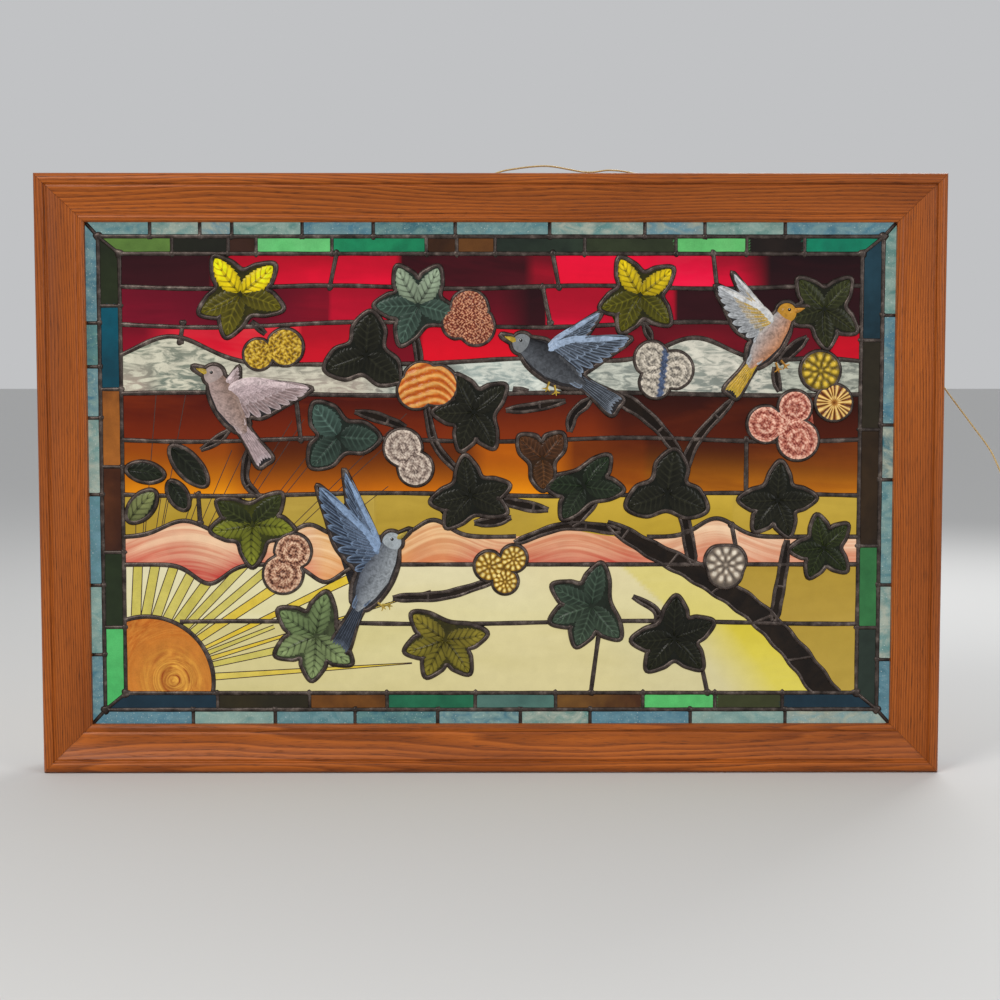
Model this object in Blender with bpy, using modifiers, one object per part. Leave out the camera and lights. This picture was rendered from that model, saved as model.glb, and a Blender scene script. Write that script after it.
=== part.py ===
"""An oak-framed leaded window with cast glass birds, leaves and blossoms.

It is made up as a shallow light box for a wall. The front faces -Y, +X is to the right and +Z is up. The
origin is the middle of the back face, which lies flat against the wall. All lengths are in metres.
"""

import math

import bmesh
import bpy
import numpy as np
from mathutils import Vector
from mathutils.geometry import delaunay_2d_cdt

MM = 0.001
GAP = 0.3 * MM

# Oak frame and the box behind it
FRAME_WIDTH = 1160 * MM
FRAME_HEIGHT = 770 * MM
MOULDING_WIDTH = 61 * MM
BOX_DEPTH = 56 * MM
BOX_INSET = 14 * MM
BOARD = 16 * MM
BACK_THICKNESS = 6 * MM
RABBET_WIDTH = 8 * MM
RABBET_DEPTH = 6.4 * MM

# Leaded ground
GLASS = 3.4 * MM
LEAD_RISE = 2.0 * MM
LEAD_WIDTH = 6.0 * MM
OUTER_LEAD = (503.5 * MM, 306.5 * MM)
PICTURE = (476.5 * MM, 284.5 * MM)
# Where the short leads stand along each side of the outer border, and of the row of tiles inside it
BORDER_LEADS = {
    "top": (-437, -373, -332, -242, -151, -46, 75, 197, 274, 377),
    "bottom": (-389, -282, -178, -70, 38, 129, 260, 384),
    "left": (196, 140, 74, -25, -143, -234),
    "right": (206, 65, -6, -143, -241),
}
TILE_LEADS = {
    "top": (-409, -337, -301, -204, -83, -44, 5, 120, 237, 328, 402),
    "bottom": (-357, -237, -136, -21, 84, 198, 292, 380),
    "left": (218, 111, 11, -100, -198),
    "right": (174, 59, -92, -199),
}

# Sky, from top to bottom: the height of each lead, how far it waves, and the length and start of its wave
SKY_LEADS = (
    (242, 2.0, 330, 40),
    (194, 3.5, 420, 160),
    (105, 2.0, 500, 0),
    (46, 2.5, 380, 90),
    (-25, 2.0, 450, 200),
    (-192, 2.0, 520, 60),
)
# Leads with hills: the level they start from, then middle, half width and height of each hill or dip
HILLY_LEADS = (
    (143, ((-412, 62, 36), (60, 110, 8), (262, 58, 34), (420, 70, 8))),
    (-80, ((-398, 38, 21), (-236, 24, 16), (-75, 28, 22), (97, 40, 9), (292, 32, 24))),
    (-116, ((-366, 28, -25), (-215, 26, -23))),
)
# Where such a lead has its points, in half widths of each hill
HILL_STEPS = (-1.9, -1.2, -0.6, 0.0, 0.6, 1.2, 1.9)
# Upright leads between the sky's tiles: foot (x, z), head (x, z)
UPRIGHT_LEADS = (
    ((-207, 242), (-198, 285)),
    ((87, 242), (79, 285)),
    ((290, 242), (285, 285)),
    ((76, 196), (66, 242)),
    ((-400, 172), (-396, 196)),
    ((-246, 46), (-252, 105)),
    ((330, -25), (330, 46)),
    ((-140, -116), (-150, -80)),
    ((322, -116), (312, -65)),
    ((130, -284), (142, -192)),
    ((282, -284), (262, -192)),
)
SUN_CENTRE = (-448, -270)
SUN_RADIUS = 86
# Branches of dark glass: points (x, z, width)
TRUNK = ((436, -284, 30), (396, -232, 28), (340, -175, 27), (268, -128, 24), (205, -95, 20), (150, -62, 12))
TRUNK_OPENING = 0.55
BOUGHS = (
    ((368, -190, 11), (378, -130, 10), (384, -84, 7)),
    ((262, -116, 13), (254, -72, 11), (246, -20, 11), (262, 40, 10), (312, 98, 7)),
    ((246, 24, 10), (212, 66, 12), (172, 96, 16), (140, 100, 9)),
    ((168, -72, 10), (96, -66, 8), (30, -88, 6)),
    ((-128, -160, 7), (-60, -156, 9), (6, -136, 6)),
    ((-314, 32, 8), (-318, -6, 7), (-300, -28, 6)),
    ((-84, 92, 6), (-72, 40, 7), (-40, 2, 6)),
    ((-100, 188, 7), (-94, 160, 7), (-92, 136, 6)),
)

# Cast glass let into the leads
CAST_BASE = 0.6 * MM
CAST_RIM = 2.6 * MM
INNER_SHARE = 0.45
LOBE_HALF_ANGLE = 19.5
LOBE_SHOULDER = 0.74
VEIN_RISE = 3.6 * MM
HEART_RISE = 1.4 * MM
RIB_RISE = 3.0
RING_RISE = 4.0
EYE_RISE = 2.5

# Leaves: name, heart (x, z), reach and the directions of the lobes in degrees
LEAVES = (
    ("leaf_sunlit_left", -322, 233, 59, (125, 40, -19, -109, -155)),
    ("leaf_mint", -94, 219, 57, (118, 61, -18, -114, -179)),
    ("leaf_sunlit_right", 191, 232, 55, (119, 39, -44, -117, -161)),
    ("leaf_top_corner", 428, 214, 52, (131, 49, -35, -85, -166)),
    ("leaf_dark_bud", -161, 155, 57, (83, -38, -161)),
    ("leaf_sea_green", -197, 50, 54, (126, -2, -133)),
    ("leaf_dark_centre", -22, 82, 54, (115, 40, -61, -110, -179)),
    ("leaf_dark_under", -27, -26, 53, (98, 14, -26, -127, -170)),
    ("leaf_brown", 66, 22, 42, (136, 50, -88)),
    ("leaf_bottle_green", 120, -14, 52, (50, -6, -123, 178)),
    ("leaf_dark_middle", 228, -22, 57, (80, -24, -160)),
    ("leaf_dark_right", 371, -32, 51, (86, 3, -72, -127, 180)),
    ("leaf_edge_right", 431, -94, 44, (102, 44, -45, -115, -176)),
    ("leaf_fern_green", -309, -64, 56, (146, 46, -7, -91, -172)),
    ("leaf_pale_green", -228, -209, 60, (76, -39, -96, -154, 145)),
    ("leaf_olive", -60, -214, 56, (142, 8, -55, -117, -163)),
    ("leaf_blue_green", 130, -170, 58, (77, -49, -110, -158, 152)),
    ("leaf_dark_low", 238, -212, 56, (87, 22, -48, -129, -176)),
)
# Single leaflets: name, middle (x, z), half length, half width, direction
LEAFLETS = (
    ("leaflet_dark_low", -447, 4, 25, 13, -10),
    ("leaflet_dark_high", -391, 12, 34, 15, -48),
    ("leaflet_dark_small", -405, -26, 21, 12, -60),
    ("leaflet_green", -452, -40, 26, 15, 48),
)
# Blossoms: name and the rounds (x, z, radius) that each is cast of
BLOSSOMS = (
    ("blossom_yellow_pear", ((-265, 165, 23), (-299, 156, 19))),
    ("blossom_copper", ((-28, 214, 24), (-20, 192, 24), (-42, 196, 20))),
    ("blossom_orange", ((-96, 110, 24), (-70, 116, 26), (-88, 120, 26))),
    ("blossom_white_pair", ((-114, 36, 24), (-98, 9, 22))),
    ("blossom_sky", ((207, 150, 22), (235, 136, 24), (212, 120, 20))),
    ("blossom_yellow_round", ((424, 135, 25),)),
    ("blossom_amber_round", ((442, 94, 23),)),
    ("blossom_pink", ((354, 66, 23), (392, 88, 21), (396, 46, 26), (376, 68, 15))),
    ("blossom_rose_pair", ((-257, -99, 23), (-270, -128, 25))),
    ("blossom_yellow_triple", ((-2.5, -118, 19), (29, -108, 17), (18, -138, 16))),
    ("blossom_white_square", ((298, -112, 20), (310, -112, 20), (304, -124, 22))),
)
# Birds: middle of the body, head and tail as (direction, length from that middle), direction of the beak,
# and wings as (direction, span, chord)
BIRDS = {
    "bird_pale": dict(
        body=(-338, 88),
        head=(115, 45),
        beak=158,
        girth=21,
        tail=(-57, 84),
        tail_width=24,
        wings=((6, 110, 34), (66, 42, 13)),
    ),
    "bird_grey": dict(
        body=(86, 142),
        head=(149, 54),
        beak=158,
        girth=24,
        tail=(-35, 92),
        tail_width=28,
        wings=((14, 112, 32), (40, 92, 20)),
    ),
    "bird_golden": dict(
        body=(353, 168),
        head=(57, 49),
        beak=14,
        girth=21,
        tail=(-125, 76),
        tail_width=22,
        wings=((140, 94, 30), (124, 92, 14)),
    ),
    "bird_slate": dict(
        body=(-154, -134),
        head=(62, 54),
        beak=34,
        girth=24,
        tail=(-116, 102),
        tail_width=26,
        wings=((126, 130, 32), (109, 132, 20)),
    ),
}
HEAD_RADIUS = 14
BEAK_LENGTH = 14
BODY_RISE = 11 * MM
WING_RISE = 6 * MM
TAIL_RISE = 2.5
# Outline of a wing: (share of the span, share of the chord), from the root round the leading edge and back
WING_BLADE = (
    (0.0, 0.35),
    (0.3, 0.5),
    (0.62, 0.3),
    (1.0, 0.0),
    (0.96, -0.22),
    (0.72, -0.55),
    (0.42, -0.95),
    (0.1, -0.85),
    (-0.08, -0.2),
)

# Cord
CORD_DIAMETER = 5.5 * MM
CORD_POINT_SPACING = 16.5 * MM
CORD_SIDES = 2
BOX_TOP = FRAME_HEIGHT / 2 - BOX_INSET
BOX_SIDE = FRAME_WIDTH / 2 - BOX_INSET
CORD_Y = -26 * MM
GROMMET = (-6 * MM, CORD_Y, BOX_TOP)
GROMMET_RADIUS = 7 * MM
GROMMET_HEIGHT = 5 * MM
CORD_REST = BOX_TOP + CORD_DIAMETER / 2 + 0.5 * MM
CLIP_HEIGHT = 0.160
CLIP_DEPTH = 6 * MM
COIL_CENTRE = (0.724, CORD_Y, -0.110)
COIL_RADII = (24.3 * MM, 36.2 * MM)
COIL_HALF_DEPTH = 5.8 * MM
# Plug: height under its top, half width and half depth, in millimetres
PLUG_SECTIONS = ((0, 4.0, 3.4), (-16, 5.0, 4.2), (-20, 12.0, 8.5), (-44, 13.0, 9.5), (-48, 11.5, 8.0))


def clear_scene():
    for old in list(bpy.data.objects):
        bpy.data.objects.remove(old)


def make_material(name, colour, roughness, metallic=0.0):
    made = bpy.data.materials.new(name)
    made.use_nodes = True
    shader = made.node_tree.nodes["Principled BSDF"]
    shader.inputs["Base Color"].default_value = (*colour, 1.0)
    shader.inputs["Roughness"].default_value = roughness
    shader.inputs["Metallic"].default_value = metallic
    return made


def add_object(name, mesh, material):
    made = bpy.data.objects.new(name, mesh)
    mesh.materials.clear()
    mesh.materials.append(material)
    WINDOW.objects.link(made)
    return made


def object_from_bmesh(name, shape, material):
    bmesh.ops.recalc_face_normals(shape, faces=shape.faces)
    mesh = bpy.data.meshes.new(name)
    shape.to_mesh(mesh)
    shape.free()
    return add_object(name, mesh, material)


def add_box(name, low, high, material, edge=1.2 * MM):
    """A board between two corners, with its edges eased."""
    low = np.array(low)
    high = np.array(high)
    shape = bmesh.new()
    bmesh.ops.create_cube(shape, size=1.0)
    bmesh.ops.scale(shape, vec=Vector(high - low), verts=shape.verts)
    bmesh.ops.translate(shape, vec=Vector((low + high) / 2), verts=shape.verts)
    made = object_from_bmesh(name, shape, material)
    if edge:
        bevel = made.modifiers.new("eased edges", "BEVEL")
        bevel.width = edge
        bevel.segments = 1
    return made


def moulding_profile():
    """Section of the oak moulding: points (inward from the outer edge, forward of its back)."""
    bead = [(8 - 8 * math.cos(a), 22 + 8 * math.sin(a)) for a in np.radians((0, 30, 60, 90))]
    cove = [(18 + 30 * s, 26.5 - 9.5 * math.sin(s * math.pi / 2)) for s in (0.0, 0.25, 0.5, 0.75, 1.0)]
    lip = [(51, 15.5), (55, 17.5), (59, 16.5), (61, 14)]
    points = [(0, 0)] + bead + [(13, 29), (15, 25.5)] + cove + lip
    points = [(u * MM, t * MM) for u, t in points]
    inner = MOULDING_WIDTH
    step = inner - RABBET_WIDTH
    return points + [(inner, RABBET_DEPTH), (step, RABBET_DEPTH), (step, 0.0)]


def add_moulding(name, side, material):
    """A length of moulding with mitred ends. side is top, bottom, left or right."""
    half_width = FRAME_WIDTH / 2
    half_height = FRAME_HEIGHT / 2
    mitre = GAP / math.sqrt(2)
    half_run = half_width if side in ("top", "bottom") else half_height
    out = half_height if side in ("top", "bottom") else half_width
    shape = bmesh.new()
    loops = []
    for end in (-1, 1):
        loop = []
        for inward, forward in moulding_profile():
            along = end * (half_run - inward - mitre)
            across = out - inward
            y = -(BOX_DEPTH + GAP + forward)
            if side in ("bottom", "left"):
                across = -across
            place = (along, y, across) if side in ("top", "bottom") else (across, y, along)
            loop.append(shape.verts.new(place))
        loops.append(loop)
    count = len(loops[0])
    for i in range(count):
        j = (i + 1) % count
        shape.faces.new((loops[0][i], loops[0][j], loops[1][j], loops[1][i]))
    for loop in loops:
        shape.faces.new(loop)
    return object_from_bmesh(name, shape, material)


def to_metres(points):
    return np.array(points, float) * MM


def signed_area(loop):
    x, z = loop[:, 0], loop[:, 1]
    return 0.5 * float(np.sum(x * np.roll(z, -1) - np.roll(x, -1) * z))


def counter_clockwise(loop):
    return loop if signed_area(loop) > 0 else loop[::-1]


def strip(points, widths):
    """Outline of a lead or branch that follows a line and may taper."""
    points = np.array(points, float)
    widths = np.broadcast_to(np.array(widths, float), (len(points),))
    ahead = np.gradient(points, axis=0)
    ahead /= np.linalg.norm(ahead, axis=1, keepdims=True)
    aside = np.stack([-ahead[:, 1], ahead[:, 0]], axis=1) * widths[:, None] / 2
    return counter_clockwise(np.concatenate([points + aside, (points - aside)[::-1]]))


def grown(loop, distance):
    """The outline moved outward everywhere, with mitred corners. Outer corners never run far."""
    loop = counter_clockwise(loop)
    back = loop - np.roll(loop, 1, axis=0)
    ahead = np.roll(loop, -1, axis=0) - loop
    normals = []
    for edge in (back, ahead):
        edge = edge / np.linalg.norm(edge, axis=1, keepdims=True)
        normals.append(np.stack([edge[:, 1], -edge[:, 0]], axis=1))
    middle = normals[0] + normals[1]
    notch = (back[:, 0] * ahead[:, 1] - back[:, 1] * ahead[:, 0] < 0)[:, None]
    scale = 2.0 / np.maximum((middle**2).sum(axis=1, keepdims=True), np.where(notch, 0.2, 0.7))
    return loop + middle * scale * distance


def triangulate(loops, extra=()):
    """Splits overlapping outlines into triangles, and tells for each the outlines that it is in."""
    points = []
    faces = []
    for loop in loops:
        first = len(points)
        points.extend(Vector(p) for p in counter_clockwise(loop))
        faces.append(list(range(first, len(points))))
    points.extend(Vector(p) for p in extra)
    found = delaunay_2d_cdt(points, [], faces, 1, 1e-6)
    places = np.array([tuple(p) for p in found[0]])
    return places, [tuple(f) for f in found[2]], [set(s) for s in found[5]]


def rim_edges(triangles):
    """Directed edges that only one triangle uses."""
    directed = {(t[i], t[(i + 1) % 3]) for t in triangles for i in range(3)}
    return [edge for edge in directed if edge[::-1] not in directed]


def chained(edges):
    """Closed loops of point numbers, longest first."""
    following = dict(edges)
    loops = []
    while following:
        start, here = next(iter(following.items()))
        del following[start]
        loop = [start]
        while here != start:
            loop.append(here)
            here = following.pop(here)
        loops.append(loop)
    return sorted(loops, key=len, reverse=True)


def relief_mesh(shape, places, triangles, heights, back):
    """A closed solid: the triangles at their heights in front, walls down to a flat back."""
    used = [i for t in triangles for i in t]
    front = {i: shape.verts.new((places[i][0], -heights[i], places[i][1])) for i in used}
    rear = {}
    for t in triangles:
        shape.faces.new([front[i] for i in t])
    edges = rim_edges(triangles)
    for a, b in edges:
        for i in (a, b):
            if i not in rear:
                rear[i] = shape.verts.new((places[i][0], -back, places[i][1]))
        shape.faces.new((front[b], front[a], rear[a], rear[b]))
    for loop in chained(edges):
        shape.faces.new([rear[i] for i in reversed(loop)])


def lobed_leaf(heart, reach, directions):
    """Outline of a leaf with pointed lobes, and its raised vein points (x, z, rise over the rim)."""
    heart = np.array(heart, float)
    turns = sorted(directions)
    outline = []
    veins = [(heart[0], heart[1], HEART_RISE / MM)]

    def at(angle, distance):
        return heart + distance * np.array([math.cos(math.radians(angle)), math.sin(math.radians(angle))])

    wide = 1.0 if len(turns) > 3 else 1.45
    for i, turn in enumerate(turns):
        onward = turns[(i + 1) % len(turns)] + (360 if i + 1 == len(turns) else 0)
        hollow = 0.72 - 0.0022 * (onward - turn)
        outline.append(at(turn - LOBE_HALF_ANGLE * wide, reach * LOBE_SHOULDER))
        outline.append(at(turn, reach))
        outline.append(at(turn + LOBE_HALF_ANGLE * wide, reach * LOBE_SHOULDER))
        outline.append(at((turn + onward) / 2, reach * hollow))
        veins.append((*at(turn, reach * 0.52), VEIN_RISE / MM))
    return [np.array(outline)], veins


def single_leaflet(middle, half_length, half_width, direction):
    """A pointed oval, with a raised midrib."""
    steps = np.radians(np.arange(0, 360, 36))
    along = half_length * np.cos(steps)
    across = half_width * np.sin(steps) * (0.75 + 0.25 * np.abs(np.sin(steps)))
    turn = math.radians(direction)
    x = middle[0] + along * math.cos(turn) - across * math.sin(turn)
    z = middle[1] + along * math.sin(turn) + across * math.cos(turn)
    ribs = [(*towards(middle, direction, s * half_length), RIB_RISE) for s in (-0.4, 0.4)]
    return [np.stack([x, z], axis=1)], ribs


def round_blossom(rounds):
    """Rounds of cast glass run together, each with a raised ring and a sunk eye."""
    outlines = []
    rises = []
    for x, z, radius in rounds:
        steps = np.radians(np.arange(0, 360, 36))
        outlines.append(np.stack([x + radius * np.cos(steps), z + radius * np.sin(steps)], axis=1))
        for angle in np.radians(np.arange(15, 360, 72)):
            ring = (x + 0.6 * radius * math.cos(angle), z + 0.6 * radius * math.sin(angle))
            rises.append((*ring, RING_RISE))
        rises.append((x, z, EYE_RISE))
    return outlines, rises


def towards(start, direction, distance, aside=0.0):
    """The point that lies that far off in a direction in degrees, and that far to the left of it."""
    turn = math.radians(direction)
    return (
        start[0] + distance * math.cos(turn) - aside * math.sin(turn),
        start[1] + distance * math.sin(turn) + aside * math.cos(turn),
    )


def flying_bird(body, head, beak, girth, tail, tail_width, wings):
    """A songbird in flight, made of body, head, beak, tail and two wings that overlap."""
    outlines = []
    rises = []
    head_at = towards(body, *head)
    steps = np.radians(np.arange(0, 360, 30))
    back_end = towards(body, tail[0], 0.42 * tail[1])
    axis = math.degrees(math.atan2(head_at[1] - back_end[1], head_at[0] - back_end[0]))
    length = math.hypot(head_at[0] - back_end[0], head_at[1] - back_end[1])
    middle = ((head_at[0] + back_end[0]) / 2, (head_at[1] + back_end[1]) / 2)
    half = 0.54 * length
    body_at = [(half * math.cos(a), girth * math.sin(a)) for a in steps]
    outlines.append(np.array([towards(middle, axis, s, w) for s, w in body_at]))
    round_at = [(HEAD_RADIUS * math.cos(a), HEAD_RADIUS * math.sin(a)) for a in steps]
    outlines.append(np.array([towards(head_at, beak, s, w) for s, w in round_at]))
    tip = HEAD_RADIUS + BEAK_LENGTH
    beak_at = [(8, -6), (tip, -2), (tip, 2), (8, 6)]
    outlines.append(np.array([towards(head_at, beak, s, w) for s, w in beak_at]))
    side = tail_width / 2
    tail_at = [(0.2, -8), (0.6, -8), (1.0, -side), (1.04, 0), (1.0, side), (0.6, 8), (0.2, 8)]
    outlines.append(np.array([towards(body, tail[0], s * tail[1], w) for s, w in tail_at]))
    root = towards(middle, axis, 0.12 * length)
    for direction, span, chord in wings:
        near_head = math.sin(math.radians(axis - direction)) > 0
        front = 1 if near_head else -1
        blade = [towards(root, direction, s * span, front * w * chord) for s, w in WING_BLADE]
        outlines.append(np.array(blade))
        rises.append((*towards(root, direction, 0.35 * span, front * 0.1 * chord), WING_RISE / MM))
        rises.append((*towards(root, direction, 0.7 * span, 0.0), 0.6 * WING_RISE / MM))
    rises.append((*middle, BODY_RISE / MM))
    rises.append((*towards(middle, axis, 0.3 * length), 0.85 * BODY_RISE / MM))
    rises.append((*towards(middle, axis, -0.3 * length), 0.6 * BODY_RISE / MM))
    rises.append((*head_at, 0.75 * BODY_RISE / MM))
    rises.append((*towards(body, tail[0], 0.75 * tail[1]), TAIL_RISE))
    return outlines, rises


def add_cast_piece(name, outlines, rises, taken, material):
    """A cast piece in its lead rim. Where it meets a piece already set, it gives way to it."""
    ground_front = BOX_DEPTH + GAP + GLASS
    loops = [to_metres(loop) for loop in outlines] + [grown(loop, GAP) for loop in taken]
    rising = {tuple(to_metres(p[:2])): p[2] * MM for p in rises}
    places, triangles, owners = triangulate(loops, rising.keys())
    own = set(range(len(outlines)))
    kept = [t for t, owner in zip(triangles, owners) if owner & own and not owner - own]
    kept = largest_body(kept)
    rim = {i for edge in rim_edges(kept) for i in edge}
    spots = np.array(list(rising.keys()))
    spot_rise = np.array(list(rising.values()))
    rim_height = ground_front + CAST_BASE + CAST_RIM
    heights = np.full(len(places), rim_height)
    for i in {i for t in kept for i in t} - rim:
        distance = np.linalg.norm(spots - places[i], axis=1)
        nearest = int(distance.argmin())
        heights[i] += spot_rise[nearest] * (1.0 if distance[nearest] < 1e-5 else INNER_SHARE)
    shape = bmesh.new()
    relief_mesh(shape, places, kept, heights, ground_front + CAST_BASE)
    made = object_from_bmesh(name, shape, material)
    taken.append(places[chained(rim_edges(kept))[0]])
    return made


def largest_body(triangles):
    """The biggest group of triangles that hang together by their edges."""
    by_edge = {}
    for n, t in enumerate(triangles):
        for i in range(3):
            by_edge.setdefault(frozenset((t[i], t[(i + 1) % 3])), []).append(n)
    group = list(range(len(triangles)))

    def leader(n):
        while group[n] != n:
            n = group[n]
        return n

    for pair in by_edge.values():
        if len(pair) == 2:
            group[leader(pair[0])] = leader(pair[1])
    leaders = [leader(n) for n in range(len(triangles))]
    biggest = max(set(leaders), key=leaders.count)
    return [t for t, n in zip(triangles, leaders) if n == biggest]


def rectangle(low_x, low_z, high_x, high_z):
    return np.array([(low_x, low_z), (high_x, low_z), (high_x, high_z), (low_x, high_z)])


def ring_strips(half_x, half_z, width):
    """Four lead strips round a rectangle, each running the full length of its side."""
    w = width / 2
    x, z = half_x + w, half_z + w
    return [
        rectangle(-x, half_z - w, x, z),
        rectangle(-x, -z, x, -half_z + w),
        rectangle(-x, -z, -half_x + w, z),
        rectangle(half_x - w, -z, x, z),
    ]


def short_leads(row, side, from_edge, to_edge):
    """Leads across a border, between two rings. row holds where they stand along that side."""
    half = LEAD_WIDTH / 2
    made = []
    for place in to_metres(row):
        if side in ("top", "bottom"):
            ends = (from_edge[1], to_edge[1]) if side == "top" else (-to_edge[1], -from_edge[1])
            made.append(rectangle(place - half, ends[0], place + half, ends[1]))
        else:
            ends = (from_edge[0], to_edge[0]) if side == "right" else (-to_edge[0], -from_edge[0])
            made.append(rectangle(ends[0], place - half, ends[1], place + half))
    return made


def hilly_line(foot, hills):
    """A lead line over bell-shaped hills, in millimetres, with its points where the hills need them."""
    places = {-PICTURE[0] / MM, PICTURE[0] / MM}
    for middle, half, height in hills:
        places.update(middle + half * step for step in HILL_STEPS)
    x = np.array(sorted(p for p in places if abs(p) <= PICTURE[0] / MM))
    x = x[np.concatenate([[True], np.diff(x) > LEAD_WIDTH / MM])]
    rise = sum(height * np.exp(-(((x - middle) / half) ** 2)) for middle, half, height in hills)
    return np.stack([x, foot + rise], axis=1)


def ground_leads():
    """Outlines of every lead line of the flat ground, in metres."""
    plate_x = FRAME_WIDTH / 2 - MOULDING_WIDTH + RABBET_WIDTH - 2 * GAP
    plate_z = FRAME_HEIGHT / 2 - MOULDING_WIDTH + RABBET_WIDTH - 2 * GAP
    edge_width = RABBET_WIDTH + 2 * MM
    plate = (plate_x - edge_width / 2, plate_z - edge_width / 2)
    leads = ring_strips(*plate, edge_width)
    leads += ring_strips(*OUTER_LEAD, LEAD_WIDTH)
    leads += ring_strips(*PICTURE, LEAD_WIDTH)
    for side, row in BORDER_LEADS.items():
        leads += short_leads(row, side, OUTER_LEAD, plate)
    for side, row in TILE_LEADS.items():
        leads += short_leads(row, side, PICTURE, OUTER_LEAD)
    for sx in (-1, 1):
        for sz in (-1, 1):
            corner = np.array((sx, sz))
            leads.append(strip([corner * PICTURE, corner * OUTER_LEAD], LEAD_WIDTH))
            leads.append(strip([corner * OUTER_LEAD, corner * plate], LEAD_WIDTH))
    across = np.linspace(-PICTURE[0] / MM, PICTURE[0] / MM, 11)
    for height, wave, length, start in SKY_LEADS:
        line = height + wave * np.sin((across - start) * 2 * math.pi / length)
        leads.append(strip(to_metres(np.stack([across, line], axis=1)), LEAD_WIDTH))
    for foot, hills in HILLY_LEADS:
        leads.append(strip(to_metres(hilly_line(foot, hills)), LEAD_WIDTH))
    for foot, head in UPRIGHT_LEADS:
        leads.append(strip(to_metres([foot, head]), LEAD_WIDTH))
    arc = np.radians(np.linspace(-9, 109, 13))
    sun = np.array(SUN_CENTRE) + SUN_RADIUS * np.stack([np.cos(arc), np.sin(arc)], axis=1)
    leads.append(strip(to_metres(sun), LEAD_WIDTH))
    for bough in BOUGHS + (TRUNK,):
        line = to_metres(bough)
        leads.append(strip(line[:, :2], line[:, 2] + LEAD_WIDTH))
    return rectangle(-plate_x, -plate_z, plate_x, plate_z), leads


def fans(triangles, centre):
    """The triangles round one point, grouped by the edges that they share there."""
    groups = []
    for t in triangles:
        rim = set(t) - {centre}
        group = [t]
        for other in [g for g in groups if g[0] & rim]:
            groups.remove(other)
            rim |= other[0]
            group += other[1]
        groups.append((rim, group))
    return [group for rim, group in groups]


def lower_pinched_tips(level, low, high):
    """Where two raised parts would meet at one point only, the smaller one is lowered there."""
    around = {}
    for t in level:
        for i in t:
            around.setdefault(i, []).append(t)
    settled = False
    while not settled:
        settled = True
        for i, near in around.items():
            groups = fans([t for t in near if level[t] == high], i)
            for group in sorted(groups, key=len)[:-1]:
                settled = False
                for t in group:
                    level[t] = low


def add_leaded_ground(pockets, material):
    """The flat tiles and their leads as one plate. Leads stand proud, and each cast piece has a pocket."""
    plate, leads = ground_leads()
    trunk = to_metres(TRUNK)
    opening = strip(trunk[1:-1, :2], trunk[1:-1, 2] * TRUNK_OPENING)
    pockets = [grown(loop, GAP) for loop in pockets] + [opening]
    places, triangles, owners = triangulate([plate] + leads + pockets)
    first_pocket = 1 + len(leads)
    back = BOX_DEPTH + GAP
    low = back + GLASS
    high = low + LEAD_RISE
    level = {}
    kept = []
    for t, owner in zip(triangles, owners):
        if 0 not in owner:
            continue
        sunk = len(owner) == 1 or max(owner) >= first_pocket
        level[t] = low if sunk else high
        kept.append(t)
    lower_pinched_tips(level, low, high)
    shape = bmesh.new()
    verts = {}

    def vert(i, height):
        key = (i, round(height, 6))
        if key not in verts:
            verts[key] = shape.verts.new((places[i][0], -height, places[i][1]))
        return verts[key]

    by_edge = {(t[i], t[(i + 1) % 3]): t for t in kept for i in range(3)}
    for t in kept:
        shape.faces.new([vert(i, level[t]) for i in t])
    outer = []
    for (a, b), t in by_edge.items():
        other = by_edge.get((b, a))
        if other is None:
            outer.append((a, b))
            shape.faces.new((vert(b, level[t]), vert(a, level[t]), vert(a, back), vert(b, back)))
        elif level[t] > level[other]:
            above, below = level[t], level[other]
            shape.faces.new((vert(b, above), vert(a, above), vert(a, below), vert(b, below)))
    for loop in chained(outer):
        shape.faces.new([vert(i, back) for i in reversed(loop)])
    return object_from_bmesh("leaded_ground", shape, material)


def smooth_route(points, spacing):
    """A smooth curve through the route's own points, with a point every so often."""
    points = np.array(points, float)
    padded = np.concatenate([2 * points[:1] - points[1:2], points, 2 * points[-1:] - points[-2:-1]])
    fine = []
    for i in range(len(points) - 1):
        p0, p1, p2, p3 = padded[i : i + 4]
        slope = p2 - p0
        bend = 2 * p0 - 5 * p1 + 4 * p2 - p3
        twist = 3 * p1 - p0 - 3 * p2 + p3
        for s in np.linspace(0, 1, 24, endpoint=False):
            fine.append(0.5 * (2 * p1 + slope * s + bend * s**2 + twist * s**3))
    fine = np.array(fine + [points[-1]])
    run = np.concatenate([[0.0], np.cumsum(np.linalg.norm(np.diff(fine, axis=0), axis=1))])
    stops = np.linspace(0, run[-1], max(2, round(run[-1] / spacing)) + 1)
    return np.stack([np.interp(stops, run, fine[:, k]) for k in range(3)], axis=1), run[-1]


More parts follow.
